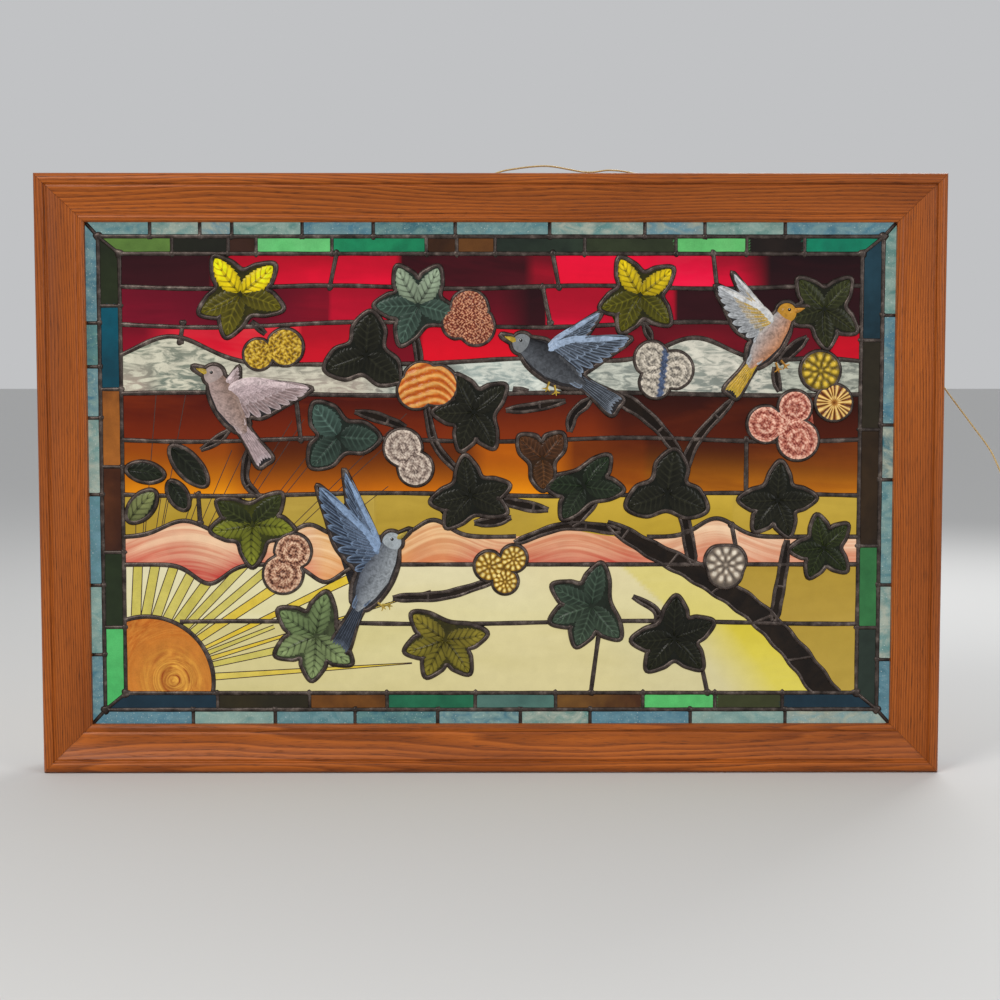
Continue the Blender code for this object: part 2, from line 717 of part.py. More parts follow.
def cord_route():
    """Where the loose cord runs: out of the grommet, over in a hump, along the box and down to the coil."""
    gx, gy, gz = GROMMET
    x, y, z = COIL_CENTRE
    start = gz + GROMMET_HEIGHT + GAP
    side = BOX_SIDE + CORD_DIAMETER / 2 + 0.6 * MM
    over_corner = 8.7 * MM
    return [
        (gx, gy, start),
        (gx + 0.0020, gy, start + 0.0080),
        (gx + 0.0120, gy, gz + 0.0190),
        (gx + 0.0320, gy, gz + 0.0240),
        (0.0724, gy, gz + 0.0283),
        (0.1230, gy, gz + 0.0205),
        (0.1540, gy, gz + 0.0230),
        (0.1850, gy, gz + 0.0190),
        (0.2500, gy, CORD_REST),
        (0.3400, gy + 0.004, CORD_REST),
        (0.4300, gy - 0.003, CORD_REST),
        (0.5050, gy, CORD_REST),
        (0.5330, gy, CORD_REST + 0.0030),
        (BOX_SIDE - 0.0133, gy, gz + over_corner),
        (BOX_SIDE + 0.0024, gy, gz + 0.0024),
        (BOX_SIDE + over_corner, gy, gz - 0.0133),
        (side + 0.0030, gy, gz - 0.0340),
        (side, gy, gz - 0.0620),
        (side, gy, CLIP_HEIGHT + 0.030),
        (side, gy, CLIP_HEIGHT),
        (side + 0.0060, gy, CLIP_HEIGHT - 0.022),
        (0.5948, gy, 0.1100),
        (0.6115, gy, 0.0880),
        (0.6280, gy, 0.0665),
        (0.6546, gy, 0.0310),
        (0.6690, gy, 0.0020),
        (0.6840, gy, z + 0.0850),
        (x - 0.0190, gy - 0.0020, z + 0.0610),
        (x - 0.0148, gy - 0.0028, z + 0.0358),
    ]


def rested(points):
    """The route where it lies on the top board or against the side board, never inside either."""
    x, z = points[:, 0], points[:, 2]
    side = BOX_SIDE + CORD_REST - BOX_TOP
    on_top = (x > GROMMET[0] + 0.1) & (x < BOX_SIDE - 0.02) & (z > BOX_TOP)
    beside = (z < BOX_TOP - 0.03) & (z > CLIP_HEIGHT - 0.01)
    z[on_top] = np.maximum(z[on_top], CORD_REST)
    x[beside] = np.maximum(x[beside], side)
    return points


def add_tube(name, points, radius, material, sides=CORD_SIDES):
    curve = bpy.data.curves.new(name, "CURVE")
    curve.dimensions = "3D"
    curve.bevel_depth = radius
    curve.bevel_resolution = sides
    curve.use_fill_caps = True
    spline = curve.splines.new("POLY")
    spline.points.add(len(points) - 1)
    for point, place in zip(spline.points, points):
        point.co = (*place, 1.0)
    made = bpy.data.objects.new(name, curve)
    curve.materials.append(material)
    WINDOW.objects.link(made)
    return made


def add_turned(name, profile, steps, place, turn, material):
    """A turned piece: a closed profile of (radius, height) spun round its own Z axis."""
    shape = bmesh.new()
    loop = [shape.verts.new((r, 0.0, h)) for r, h in profile]
    edges = [shape.edges.new((loop[i], loop[(i + 1) % len(loop)])) for i in range(len(loop))]
    bmesh.ops.spin(
        shape,
        geom=loop + edges,
        cent=(0, 0, 0),
        axis=(0, 0, 1),
        angle=2 * math.pi,
        steps=steps,
        use_merge=True,
    )
    bmesh.ops.remove_doubles(shape, verts=shape.verts, dist=1e-6)
    made = object_from_bmesh(name, shape, material)
    made.location = place
    made.rotation_euler = turn
    return made


def add_prism(name, outline, low, high, material):
    """An outline in x and y, carried straight up."""
    shape = bmesh.new()
    face = shape.faces.new([shape.verts.new((x, y, low)) for x, y in outline])
    grown_up = bmesh.ops.extrude_face_region(shape, geom=[face])["geom"]
    lifted = [v for v in grown_up if isinstance(v, bmesh.types.BMVert)]
    bmesh.ops.translate(shape, vec=(0, 0, high - low), verts=lifted)
    return object_from_bmesh(name, shape, material)


def add_clip(material):
    """A staple-shaped clip that holds the cord to the side of the box."""
    inner = CORD_DIAMETER / 2 + 0.4 * MM
    face = BOX_SIDE + GAP
    crown = BOX_SIDE + CORD_DIAMETER + 1.2 * MM
    wall = 1.5 * MM
    outline = [
        (face, CORD_Y - inner - wall),
        (crown + wall, CORD_Y - inner - wall),
        (crown + wall, CORD_Y + inner + wall),
        (face, CORD_Y + inner + wall),
        (face, CORD_Y + inner),
        (crown, CORD_Y + inner),
        (crown, CORD_Y - inner),
        (face, CORD_Y - inner),
    ]
    add_prism("cord_clip", outline, CLIP_HEIGHT, CLIP_HEIGHT + CLIP_DEPTH, material)


def add_tie(material):
    """A band round the coil's turns, at its right side."""
    x, y, z = COIL_CENTRE
    inner, outer = COIL_RADII
    slack = 0.6 * MM
    wall = 1.2 * MM
    low = np.array((x + inner - slack, y - COIL_HALF_DEPTH - slack))
    high = np.array((x + outer + slack, y + COIL_HALF_DEPTH + slack))
    shape = bmesh.new()
    rings = []
    for height in (z - 3 * MM, z + 3 * MM):
        for spread in (wall, 0.0):
            a, b = low - spread, high + spread
            rings.append([shape.verts.new((*p, height)) for p in rectangle(a[0], a[1], b[0], b[1])])
    outer_low, inner_low, outer_high, inner_high = rings
    around = [outer_low, outer_high, inner_high, inner_low, outer_low]
    for first, second in zip(around, around[1:]):
        for i in range(4):
            j = (i + 1) % 4
            shape.faces.new((first[i], first[j], second[j], second[i]))
    object_from_bmesh("cord_tie", shape, material)


def add_cord_pieces(cord_material, fitting_material):
    """Grommet, cord, clip, coil, tie and plug."""
    r, h = GROMMET_RADIUS, GROMMET_HEIGHT
    hole = CORD_DIAMETER / 2 + GAP
    grommet = [(hole, GAP), (r, GAP), (r, 0.35 * h), (0.72 * r, h), (hole, h)]
    add_turned("cord_grommet", grommet, 12, GROMMET, (0, 0, 0), fitting_material)
    points, length = smooth_route(cord_route(), CORD_POINT_SPACING)
    print("cord outside the coil:", round(length, 3), "m,", len(points), "points")
    add_tube("cord", [tuple(p) for p in rested(points)], CORD_DIAMETER / 2, cord_material)
    inner, outer = COIL_RADII
    d = COIL_HALF_DEPTH
    bevel = 0.3 * d
    coil = [(inner, bevel - d), (inner, d - bevel), (inner + bevel, d), (outer - bevel, d)]
    coil += [(outer, d - bevel), (outer, bevel - d), (outer - bevel, -d), (inner + bevel, -d)]
    add_turned("cord_coil", coil, 20, COIL_CENTRE, (math.pi / 2, 0, 0), cord_material)
    add_clip(fitting_material)
    add_tie(fitting_material)
    add_plug(fitting_material)


def add_plug(material):
    """A plug with eight sides that hangs beside the coil."""
    x, y, z = COIL_CENTRE
    top = z - 22 * MM
    plug_x = x - 33 * MM
    plug = bmesh.new()
    corners = [towards((0, 0), a, 1.08 * MM) for a in np.arange(22.5, 360, 45)]
    rings = []
    for drop, half_x, half_y in PLUG_SECTIONS:
        height = top + drop * MM
        places = [(plug_x + c * half_x, y + s * half_y, height) for c, s in corners]
        rings.append([plug.verts.new(place) for place in places])
    for upper, lower in zip(rings, rings[1:]):
        for i in range(8):
            j = (i + 1) % 8
            plug.faces.new((upper[i], upper[j], lower[j], lower[i]))
    plug.faces.new(rings[0])
    plug.faces.new(rings[-1])
    object_from_bmesh("cord_plug", plug, material)


def build():
    oak = make_material("oak", (0.33, 0.14, 0.05), 0.45)
    plywood = make_material("plywood", (0.50, 0.36, 0.20), 0.7)
    ground = make_material("leaded_glass", (0.25, 0.20, 0.12), 0.2)
    leaf_glass = make_material("leaf_glass", (0.05, 0.14, 0.05), 0.15)
    bird_glass = make_material("bird_glass", (0.45, 0.47, 0.52), 0.2)
    blossom_glass = make_material("blossom_glass", (0.65, 0.32, 0.18), 0.15)
    cord_material = make_material("cord_sleeve", (0.75, 0.62, 0.38), 0.3)
    fitting = make_material("fitting", (0.70, 0.60, 0.42), 0.4)

    add_moulding("frame_top_rail", "top", oak)
    add_moulding("frame_bottom_rail", "bottom", oak)
    add_moulding("frame_left_stile", "left", oak)
    add_moulding("frame_right_stile", "right", oak)
    inner_x, inner_z = BOX_SIDE - BOARD, BOX_TOP - BOARD
    for sign, name in ((1, "top"), (-1, "bottom")):
        z = sorted((sign * inner_z, sign * BOX_TOP))
        add_box(f"box_{name}_board", (-BOX_SIDE, -BOX_DEPTH, z[0]), (BOX_SIDE, 0, z[1]), oak)
    half_x, half_z = inner_x - GAP, inner_z - GAP
    for sign, name in ((-1, "left"), (1, "right")):
        x = sorted((sign * inner_x, sign * BOX_SIDE))
        add_box(f"box_{name}_board", (x[0], -BOX_DEPTH, -half_z), (x[1], 0, half_z), oak)
    back_low = (-half_x, -BACK_THICKNESS, -half_z)
    add_box("back_panel", back_low, (half_x, 0, half_z), plywood, edge=0)

    taken = []
    for name, figure in BIRDS.items():
        outlines, rises = flying_bird(**figure)
        add_cast_piece(name, outlines, rises, taken, bird_glass)
    for name, rounds in BLOSSOMS:
        outlines, rises = round_blossom(rounds)
        add_cast_piece(name, outlines, rises, taken, blossom_glass)
    for name, x, z, reach, directions in LEAVES:
        outlines, rises = lobed_leaf((x, z), reach, directions)
        add_cast_piece(name, outlines, rises, taken, leaf_glass)
    for name, x, z, half_length, half_width, direction in LEAFLETS:
        outlines, rises = single_leaflet((x, z), half_length, half_width, direction)
        add_cast_piece(name, outlines, rises, taken, leaf_glass)
    add_leaded_ground(taken, ground)
    add_cord_pieces(cord_material, fitting)


clear_scene()
WINDOW = bpy.data.collections.new("stained_glass_window")
bpy.context.scene.collection.children.link(WINDOW)
build()
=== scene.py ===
# %% [markdown]
# # An oak-framed leaded window with cast glass birds and leaves
#
# The real window is a shallow oak box that hangs on a wall and is lit from inside. Its picture is made of
# flat coloured glass held in lead came, with thicker cast glass birds, leaves and blossoms let in between
# the leads. The solids come from a CAD file, and this notebook dresses them: each cell makes one piece or
# one finish. The front faces -Y, +X is to the right and +Z is up, and every length is in metres unless its
# name says MM.

# %% Open the CAD frame
import math

import bmesh
import bpy
import numpy as np
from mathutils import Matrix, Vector


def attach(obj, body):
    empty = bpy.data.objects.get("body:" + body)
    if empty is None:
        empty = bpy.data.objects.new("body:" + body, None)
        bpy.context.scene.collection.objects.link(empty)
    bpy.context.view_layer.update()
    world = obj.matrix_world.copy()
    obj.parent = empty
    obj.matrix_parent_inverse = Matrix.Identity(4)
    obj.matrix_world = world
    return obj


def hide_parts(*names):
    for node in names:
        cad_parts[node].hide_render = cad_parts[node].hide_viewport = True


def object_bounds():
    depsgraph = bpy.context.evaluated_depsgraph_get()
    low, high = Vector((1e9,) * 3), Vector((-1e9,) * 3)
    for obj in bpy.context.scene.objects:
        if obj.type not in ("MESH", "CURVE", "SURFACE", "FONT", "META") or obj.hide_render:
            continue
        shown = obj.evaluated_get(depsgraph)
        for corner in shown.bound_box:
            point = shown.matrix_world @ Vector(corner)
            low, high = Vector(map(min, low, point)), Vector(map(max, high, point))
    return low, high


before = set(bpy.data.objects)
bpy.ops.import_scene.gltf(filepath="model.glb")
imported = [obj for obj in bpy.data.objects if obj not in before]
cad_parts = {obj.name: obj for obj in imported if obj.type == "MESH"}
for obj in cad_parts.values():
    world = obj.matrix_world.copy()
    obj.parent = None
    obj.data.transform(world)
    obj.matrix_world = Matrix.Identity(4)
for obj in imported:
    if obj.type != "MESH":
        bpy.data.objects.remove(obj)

cad_low, cad_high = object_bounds()
MM = 0.001
print("CAD box:", [round(v, 4) for v in (*cad_low, *cad_high)])

# %% [markdown]
# ## Camera
#
# The camera stands where the photographer stood: almost square to the picture, a little above its middle and
# tipped down by four degrees. It could be placed by eye, but a fit to the four corners of the frame is exact.

# %% Camera
CAMERA_PLACE = (0.0028, -2.3844, 0.1405)
CAMERA_TIP = 0.0741
CAMERA_PAN = 0.0037
lens = bpy.data.cameras.new("camera")
lens.sensor_width = 36.0
lens.lens = 64.8
camera = bpy.data.objects.new("camera", lens)
camera.location = CAMERA_PLACE
camera.rotation_euler = (math.pi / 2 - CAMERA_TIP, 0.0, -CAMERA_PAN)
bpy.context.scene.collection.objects.link(camera)
bpy.context.scene.camera = camera
bpy.context.scene.view_settings.view_transform = "Standard"
print("camera at", CAMERA_PLACE)

# %% [markdown]
# ## Studio
#
# Soft area lights on both sides give the lead and the cast glass their glints. A pale world fills the
# shadows. The glass also glows by itself, because the real box is lit from inside.

# %% Lights and world
def area_light(name, place, aim, size, power, colour=(1.0, 1.0, 1.0)):
    """A square soft light at a place, turned to face a point."""
    light = bpy.data.lights.new(name, "AREA")
    light.size = size
    light.energy = power
    light.color = colour
    lamp = bpy.data.objects.new(name, light)
    lamp.location = place
    lamp.rotation_mode = "QUATERNION"
    lamp.rotation_quaternion = (Vector(aim) - Vector(place)).to_track_quat("-Z", "Y")
    bpy.context.scene.collection.objects.link(lamp)
    return lamp


area_light("key", (-1.5, -2.2, 1.9), (0, 0, 0), 1.2, 48, (1.0, 0.97, 0.93))
area_light("fill", (2.0, -2.0, 0.9), (0, 0, 0), 1.4, 22, (0.95, 0.97, 1.0))
area_light("back", (1.2, 2.2, 1.8), (0, 0, 0), 1.6, 40)
world = bpy.data.worlds.new("studio")
world.use_nodes = True
world.node_tree.nodes["Background"].inputs["Color"].default_value = (0.86, 0.87, 0.89, 1.0)
world.node_tree.nodes["Background"].inputs["Strength"].default_value = 0.62
bpy.context.scene.world = world
print("three lights and a pale world")

# %% [markdown]
# ## Shader maths in plain Python
#
# A finish is a net of nodes. Written out node by node it is hard to read, so a wire stands for one socket
# and can be added, multiplied or raised like a number. Each use adds the Math node that does the same in
# the material.

# %% Wires and finishes
class Wire:
    """A socket's value. Sums with it add Math nodes."""

    def __init__(self, finish, socket):
        self.finish = finish
        self.socket = socket

    def maths(self, operation, first, second=None):
        values = {0: first} if second is None else {0: first, 1: second}
        return self.finish.node("ShaderNodeMath", {"operation": operation}, values)

    def __add__(self, other):
        return self.maths("ADD", self, other)

    def __radd__(self, other):
        return self.maths("ADD", other, self)

    def __sub__(self, other):
        return self.maths("SUBTRACT", self, other)

    def __rsub__(self, other):
        return self.maths("SUBTRACT", other, self)

    def __mul__(self, other):
        return self.maths("MULTIPLY", self, other)

    def __rmul__(self, other):
        return self.maths("MULTIPLY", other, self)

    def __truediv__(self, other):
        return self.maths("DIVIDE", self, other)

    def __pow__(self, other):
        return self.maths("POWER", self, other)


class Finish:
    """A material made of nodes, with one method for any node and a few for the usual ones."""

    def __init__(self, name, **fixed):
        self.material = bpy.data.materials.new(name)
        self.material.use_nodes = True
        self.tree = self.material.node_tree
        self.shader = self.tree.nodes["Principled BSDF"]
        for socket, value in fixed.items():
            self.shader.inputs[socket.replace("_", " ")].default_value = value

    def node(self, kind, settings=None, inputs=None, out=0):
        """Adds a node: its settings first, then the values or wires of its sockets. Gives a wire of one
        output."""
        made = self.tree.nodes.new(kind)
        for key, value in (settings or {}).items():
            setattr(made, key, value)
        for key, value in (inputs or {}).items():
            if isinstance(value, Wire):
                self.tree.links.new(value.socket, made.inputs[key])
            else:
                made.inputs[key].default_value = value
        return Wire(self, made.outputs[out])

    def feed(self, socket, wire):
        self.tree.links.new(wire.socket, self.shader.inputs[socket])

    def place(self, scale=(1, 1, 1), turn=(0, 0, 0), shift=(0, 0, 0)):
        """Object coordinates, stretched, turned and shifted."""
        here = self.node("ShaderNodeTexCoord", out="Object")
        values = {"Vector": here, "Scale": scale, "Rotation": turn, "Location": shift}
        return self.node("ShaderNodeMapping", {}, values)

    def scaled(self, vector, factors, seed=0.0):
        """A vector stretched and then moved away by a seed, so that two pieces never show the same patch."""
        moved = self.node("ShaderNodeVectorMath", {"operation": "MULTIPLY"}, {0: vector, 1: factors})
        return self.node(
            "ShaderNodeVectorMath", {"operation": "ADD"}, {0: moved, 1: (seed, seed * 1.3, seed * 0.7)}
        )

    def attribute(self, name, out="Color"):
        return self.node("ShaderNodeAttribute", {"attribute_name": name}, {}, out)

    def noise(self, vector, scale, detail=3.0, roughness=0.5, bend=0.0):
        values = {
            "Vector": vector, "Scale": scale, "Detail": detail, "Roughness": roughness, "Distortion": bend
        }
        return self.node("ShaderNodeTexNoise", {}, values)

    def ramp(self, value, *stops):
        """Turns a number into a colour, or into a number where its stops are grey: (position, colour or
        grey)."""
        made = self.node("ShaderNodeValToRGB", {}, {"Fac": value})
        band = made.socket.node.color_ramp
        for i, (position, colour) in enumerate(stops):
            spot = band.elements[i] if i < 2 else band.elements.new(position)
            spot.position = position
            spot.color = (colour, colour, colour, 1.0) if isinstance(colour, (int, float)) else (*colour, 1.0)
        return made

    def mix(self, amount, first, second, blend="MIX"):
        """Colour between two colours, wires or fixed."""
        first, second = [v if isinstance(v, Wire) else (*v, 1.0) for v in (first, second)]
        values = {0: amount, 6: first, 7: second}
        return self.node("ShaderNodeMix", {"data_type": "RGBA", "blend_type": blend}, values, 2)

    def parts(self, vector):
        """The three numbers of a vector."""
        made = self.node("ShaderNodeSeparateXYZ", {}, {"Vector": vector})
        return [Wire(self, out) for out in made.socket.node.outputs]

    def bump(self, height, depth, strength=1.0):
        values = {"Height": height, "Distance": depth, "Strength": strength}
        self.feed("Normal", self.node("ShaderNodeBump", {}, values))


def shade(red, green, blue):
    """A screen colour of 0 to 255 as the linear light that shaders use: x/12.92 when dark, a power of 2.4
    above."""
    c = np.array([red, green, blue], float) / 255
    return tuple(float(v) for v in np.where(c <= 0.04045, c / 12.92, ((c + 0.055) / 1.055) ** 2.4))


print("wires and finishes are ready")

# %% Floor
floor_mesh = bpy.data.meshes.new("floor")
FLOOR = cad_low[2] - 0.0005
REACH = 40.0
floor_corners = [(-REACH, -REACH, FLOOR), (REACH, -REACH, FLOOR), (REACH, REACH, FLOOR), (-REACH, REACH, FLOOR)]
floor_mesh.from_pydata(floor_corners, [], [(0, 1, 2, 3)])
floor = bpy.data.objects.new("floor", floor_mesh)
bpy.context.scene.collection.objects.link(floor)
floor_paint = Finish("pale_floor", Roughness=0.8, Base_Color=(0.62, 0.62, 0.61, 1.0))
floor_mesh.materials.append(floor_paint.material)
print("floor at", round(FLOOR, 4))

# %% [markdown]
# ## Surfaces from numbers
#
# Every new piece is a surface: a grid of points worked out all at once by a formula of two parameters. A
# shape collects such surfaces, with a colour and a direction for each point, and then becomes one piece.

# %% Shapes
def grid_faces(rows, columns, wrap_rows=False, wrap_columns=False):
    """Four-sided faces of a grid of points that are numbered row by row."""
    r, c = np.meshgrid(
        np.arange(rows if wrap_rows else rows - 1), np.arange(columns if wrap_columns else columns - 1),
        indexing="ij"
    )
    r2, c2 = (r + 1) % rows, (c + 1) % columns
    return np.stack(
        [r * columns + c, r * columns + c2, r2 * columns + c2, r2 * columns + c], axis=-1
    ).reshape(-1, 4)


class Shape:
    """Surfaces that become one mesh. Each point has a tint, a streak colour and a grain (along, across,
    seed)."""

    def __init__(self):
        self.points = []
        self.faces = []
        self.tints = []
        self.streaks = []
        self.grains = []
        self.count = 0

    def add(self, points, faces, tint=(0.5, 0.5, 0.5), streak=None, grain=(0.0, 0.0, 0.0)):
        """Adds points of any layout, and faces as lists of their numbers."""
        points = np.asarray(points, float)
        lead = points.shape[:-1]
        self.points.append(points.reshape(-1, 3))
        self.faces.extend((np.asarray(faces) + self.count).tolist() if len(faces) else [])
        self.tints.append(np.broadcast_to(tint, (*lead, 3)).reshape(-1, 3))
        streak = tint if streak is None else streak
        self.streaks.append(np.broadcast_to(streak, (*lead, 3)).reshape(-1, 3))
        self.grains.append(np.broadcast_to(grain, (*lead, 3)).reshape(-1, 3))
        self.count += points.reshape(-1, 3).shape[0]

    def surface(self, points, wrap_rows=False, wrap_columns=False, caps=False, **colours):
        """A grid of points. With caps, the first and the last row of a tube are closed."""
        rows, columns = points.shape[:2]
        first = self.count
        self.add(points, grid_faces(rows, columns, wrap_rows, wrap_columns), **colours)
        if caps:
            self.faces.append(list(range(first, first + columns)))
            self.faces.append(list(range(self.count - columns, self.count)))

    def lens(self, points, back, **colours):
        """A crowned surface closed by a flat back at one depth. The back is one strip between the two
        opposite edges that curve most, seen from the front, and the two straighter edges get one face
        each."""
        rows, columns = points.shape[:2]
        order = np.arange(rows * columns).reshape(rows, columns)

        def curl(edge):
            line = edge[:, [0, 2]]
            return np.linalg.norm(np.diff(line, axis=0), axis=1).sum() - np.linalg.norm(line[-1] - line[0])

        if curl(points[0]) + curl(points[-1]) > curl(points[:, 0]) + curl(points[:, -1]):
            order = order.T
        kept = order[:, [0, -1]]
        under = points.reshape(-1, 3)[kept]
        under[..., 1] = back
        below = {
            key: np.broadcast_to(value, points.shape).reshape(-1, 3)[kept] for key, value in colours.items()
        }
        first = self.count
        self.surface(points, **colours)
        low = self.count
        self.surface(under, **below)
        strip = np.arange(low, self.count).reshape(-1, 2)
        edge = order + first
        for side in (0, -1):
            wall = [edge[:-1, side], edge[1:, side], strip[1:, side], strip[:-1, side]]
            self.faces.extend(np.stack(wall, axis=1).tolist())
        flat = points.reshape(-1, 3)[:, [0, 2]]
        if not np.allclose(flat[order[0]], flat[order[-1]], atol=1e-7):
            for end in (0, -1):
                self.faces.append([*edge[end].tolist(), int(strip[end, 1]), int(strip[end, 0])])

    def piece(self, name, finish, replaces=(), sharp=40, merge=1e-6):
        """Makes the object: doubles merged, faces outward, smooth but for edges sharper than an angle in
        degrees."""
        mesh = bpy.data.meshes.new(name)
        mesh.from_pydata(np.concatenate(self.points).tolist(), [], self.faces)
        for label, kind, rows in (
            ("tint", "FLOAT_COLOR", self.tints),
            ("streak", "FLOAT_COLOR", self.streaks),
            ("grain", "FLOAT_VECTOR", self.grains),
        ):
            values = np.concatenate(rows)
            if kind == "FLOAT_COLOR":
                values = np.concatenate([values, np.ones((len(values), 1))], axis=1)
                mesh.attributes.new(label, kind, "POINT").data.foreach_set(
                    "color", values.astype(np.float32).ravel()
                )
            else:
                mesh.attributes.new(label, kind, "POINT").data.foreach_set(
                    "vector", values.astype(np.float32).ravel()
                )
        work = bmesh.new()
        work.from_mesh(mesh)
        bmesh.ops.remove_doubles(work, verts=work.verts, dist=merge)
        bmesh.ops.recalc_face_normals(work, faces=work.faces)
        work.to_mesh(mesh)
        work.free()
        mesh.polygons.foreach_set("use_smooth", np.ones(len(mesh.polygons), bool))
        mesh.set_sharp_from_angle(angle=math.radians(sharp))
        mesh.materials.append(finish.material)
        made = bpy.data.objects.new(name, mesh)
        bpy.context.scene.collection.objects.link(made)
        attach(made, "root")
        if replaces:
            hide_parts(*replaces)
        print(name, len(mesh.polygons), "faces")
        return made


def blend(a, b, s):
    """Between a and b as s goes from 0 to 1, slow at both ends: 3s squared minus 2s cubed."""
    s = np.clip(s, 0.0, 1.0)
    return a + (b - a) * s * s * (3 - 2 * s)


def ridge(x, width):
    """A smooth bump that is 1 at 0 and falls off as a bell of that width."""
    return np.exp(-((x / width) ** 2))


# %% [markdown]
# ## The cord
#
# A flat twin cord leaves the top of the box, humps over it, lies along the top board, goes round the corner
# through a clip and hangs to a small tied coil with a plug. A curve with a round bevel would be quick, but
# this cord is two cores side by side, so a figure-of-eight section is carried along the same points as the
# solid's.

# %% Route of the cord
BOX_TOP = 0.371
BOX_SIDE = 0.566
CORD_WIDTH = 5.5 * MM
CORD_Y = -26 * MM
CORD_START = BOX_TOP + 5.3 * MM
CORD_REST = BOX_TOP + CORD_WIDTH / 2 + 0.5 * MM
CLIP_HEIGHT = 0.160
COIL_CENTRE = (0.724, CORD_Y, -0.110)
GROMMET_X = -6 * MM
CORD_SIDE = BOX_SIDE + CORD_WIDTH / 2 + 0.6 * MM

route = np.array(
    [
        (GROMMET_X, 0, CORD_START),
        (GROMMET_X + 0.0020, 0, CORD_START + 0.0080),
        (GROMMET_X + 0.0120, 0, BOX_TOP + 0.0190),
        (GROMMET_X + 0.0320, 0, BOX_TOP + 0.0240),
        (0.0724, 0, BOX_TOP + 0.0283),
        (0.1230, 0, BOX_TOP + 0.0205),
        (0.1540, 0, BOX_TOP + 0.0230),
        (0.1850, 0, BOX_TOP + 0.0190),
        (0.2500, 0, CORD_REST),
        (0.3400, 0.004, CORD_REST),
        (0.4300, -0.003, CORD_REST),
        (0.5050, 0, CORD_REST),
        (0.5330, 0, CORD_REST + 0.0030),
        (BOX_SIDE - 0.0133, 0, BOX_TOP + 0.0087),
        (BOX_SIDE + 0.0024, 0, BOX_TOP + 0.0024),
        (BOX_SIDE + 0.0087, 0, BOX_TOP - 0.0133),
        (CORD_SIDE + 0.0030, 0, BOX_TOP - 0.0340),
        (CORD_SIDE, 0, BOX_TOP - 0.0620),
        (CORD_SIDE, 0, CLIP_HEIGHT + 0.030),
        (CORD_SIDE, 0, CLIP_HEIGHT),
        (CORD_SIDE + 0.0060, 0, CLIP_HEIGHT - 0.022),
        (0.5948, 0, 0.1100),
        (0.6115, 0, 0.0880),
        (0.6280, 0, 0.0665),
        (0.6546, 0, 0.0310),
        (0.6690, 0, 0.0020),
        (0.6840, 0, COIL_CENTRE[2] + 0.0850),
        (COIL_CENTRE[0] - 0.0190, -0.0020, COIL_CENTRE[2] + 0.0610),
    ]
)
route[:, 1] += CORD_Y


def smooth_path(points, spacing, closed=False):
    """A smooth curve through points, evenly spaced. Between two points a cubic leaves and arrives along the
    line that joins the neighbours on either side, which is the Catmull-Rom rule."""
    points = np.asarray(points, float)
    if closed:
        padded = np.concatenate([points[-1:], points, points[:2]])
    else:
        padded = np.concatenate([2 * points[:1] - points[1:2], points, 2 * points[-1:] - points[-2:-1]])
    p0, p1, p2, p3 = padded[:-3, None], padded[1:-2, None], padded[2:-1, None], padded[3:, None]
    s = np.linspace(0, 1, 24, endpoint=False)[None, :, None]
    fine = 0.5 * (
        2 * p1 + (p2 - p0) * s + (2 * p0 - 5 * p1 + 4 * p2 - p3) * s**2 + (3 * p1 - p0 - 3 * p2 + p3) * s**3
    )
    fine = fine.reshape(-1, points.shape[1])
    fine = np.concatenate([fine, fine[:1] if closed else points[-1:]])
    return evenly(fine, spacing, closed)


def evenly(points, spacing, closed=False):
    """The same line with its points an equal distance apart. A closed line doesn't repeat its first point."""
    run = np.concatenate([[0.0], np.cumsum(np.linalg.norm(np.diff(points, axis=0), axis=1))])
    steps = max(3, int(round(run[-1] / spacing)))
    stops = np.linspace(0, run[-1], steps + 1)
    made = np.stack([np.interp(stops, run, points[:, k]) for k in range(points.shape[1])], axis=1)
    return made[:-1] if closed else made


loose = smooth_path(route, 4 * MM)
on_top = (loose[:, 0] > GROMMET_X + 0.1) & (loose[:, 0] < BOX_SIDE - 0.02) & (loose[:, 2] > BOX_TOP)
beside = (loose[:, 2] < BOX_TOP - 0.03) & (loose[:, 2] > CLIP_HEIGHT - 0.01)
loose[on_top, 2] = np.maximum(loose[on_top, 2], CORD_REST)
loose[beside, 0] = np.maximum(loose[beside, 0], CORD_SIDE)

# The coil: the angle runs on steadily while radius and depth step from lane to lane, once each turn
LANES = ((33.0, -2.75), (27.5, -2.75), (27.5, 2.75), (33.0, 2.75))
LANE_CHANGE = 80.0
turn = np.arange(135.0, 1620.0, 7.0)
radius = np.full(turn.shape, LANES[0][0])
depth = np.full(turn.shape, LANES[0][1])
for k in range(1, 4):
    share = (turn - (135.0 + 360.0 * k - LANE_CHANGE)) / LANE_CHANGE
    radius += blend(0.0, LANES[k][0] - LANES[k - 1][0], share)
    depth += blend(0.0, LANES[k][1] - LANES[k - 1][1], share)
coil = np.stack(
    [
        COIL_CENTRE[0] + radius * MM * np.cos(np.radians(turn)),
        COIL_CENTRE[1] + depth * MM,
        COIL_CENTRE[2] + radius * MM * np.sin(np.radians(turn)),
    ],
    axis=1,
)
PLUG_X = COIL_CENTRE[0] - 33 * MM
PLUG_TOP = COIL_CENTRE[2] - 22 * MM
tail = np.array([(PLUG_X, CORD_Y + 1.5 * MM, COIL_CENTRE[2] - 10 * MM), (PLUG_X, CORD_Y, PLUG_TOP - 3 * MM)])
cord_path = evenly(np.concatenate([loose, coil, tail]), 2.5 * MM)

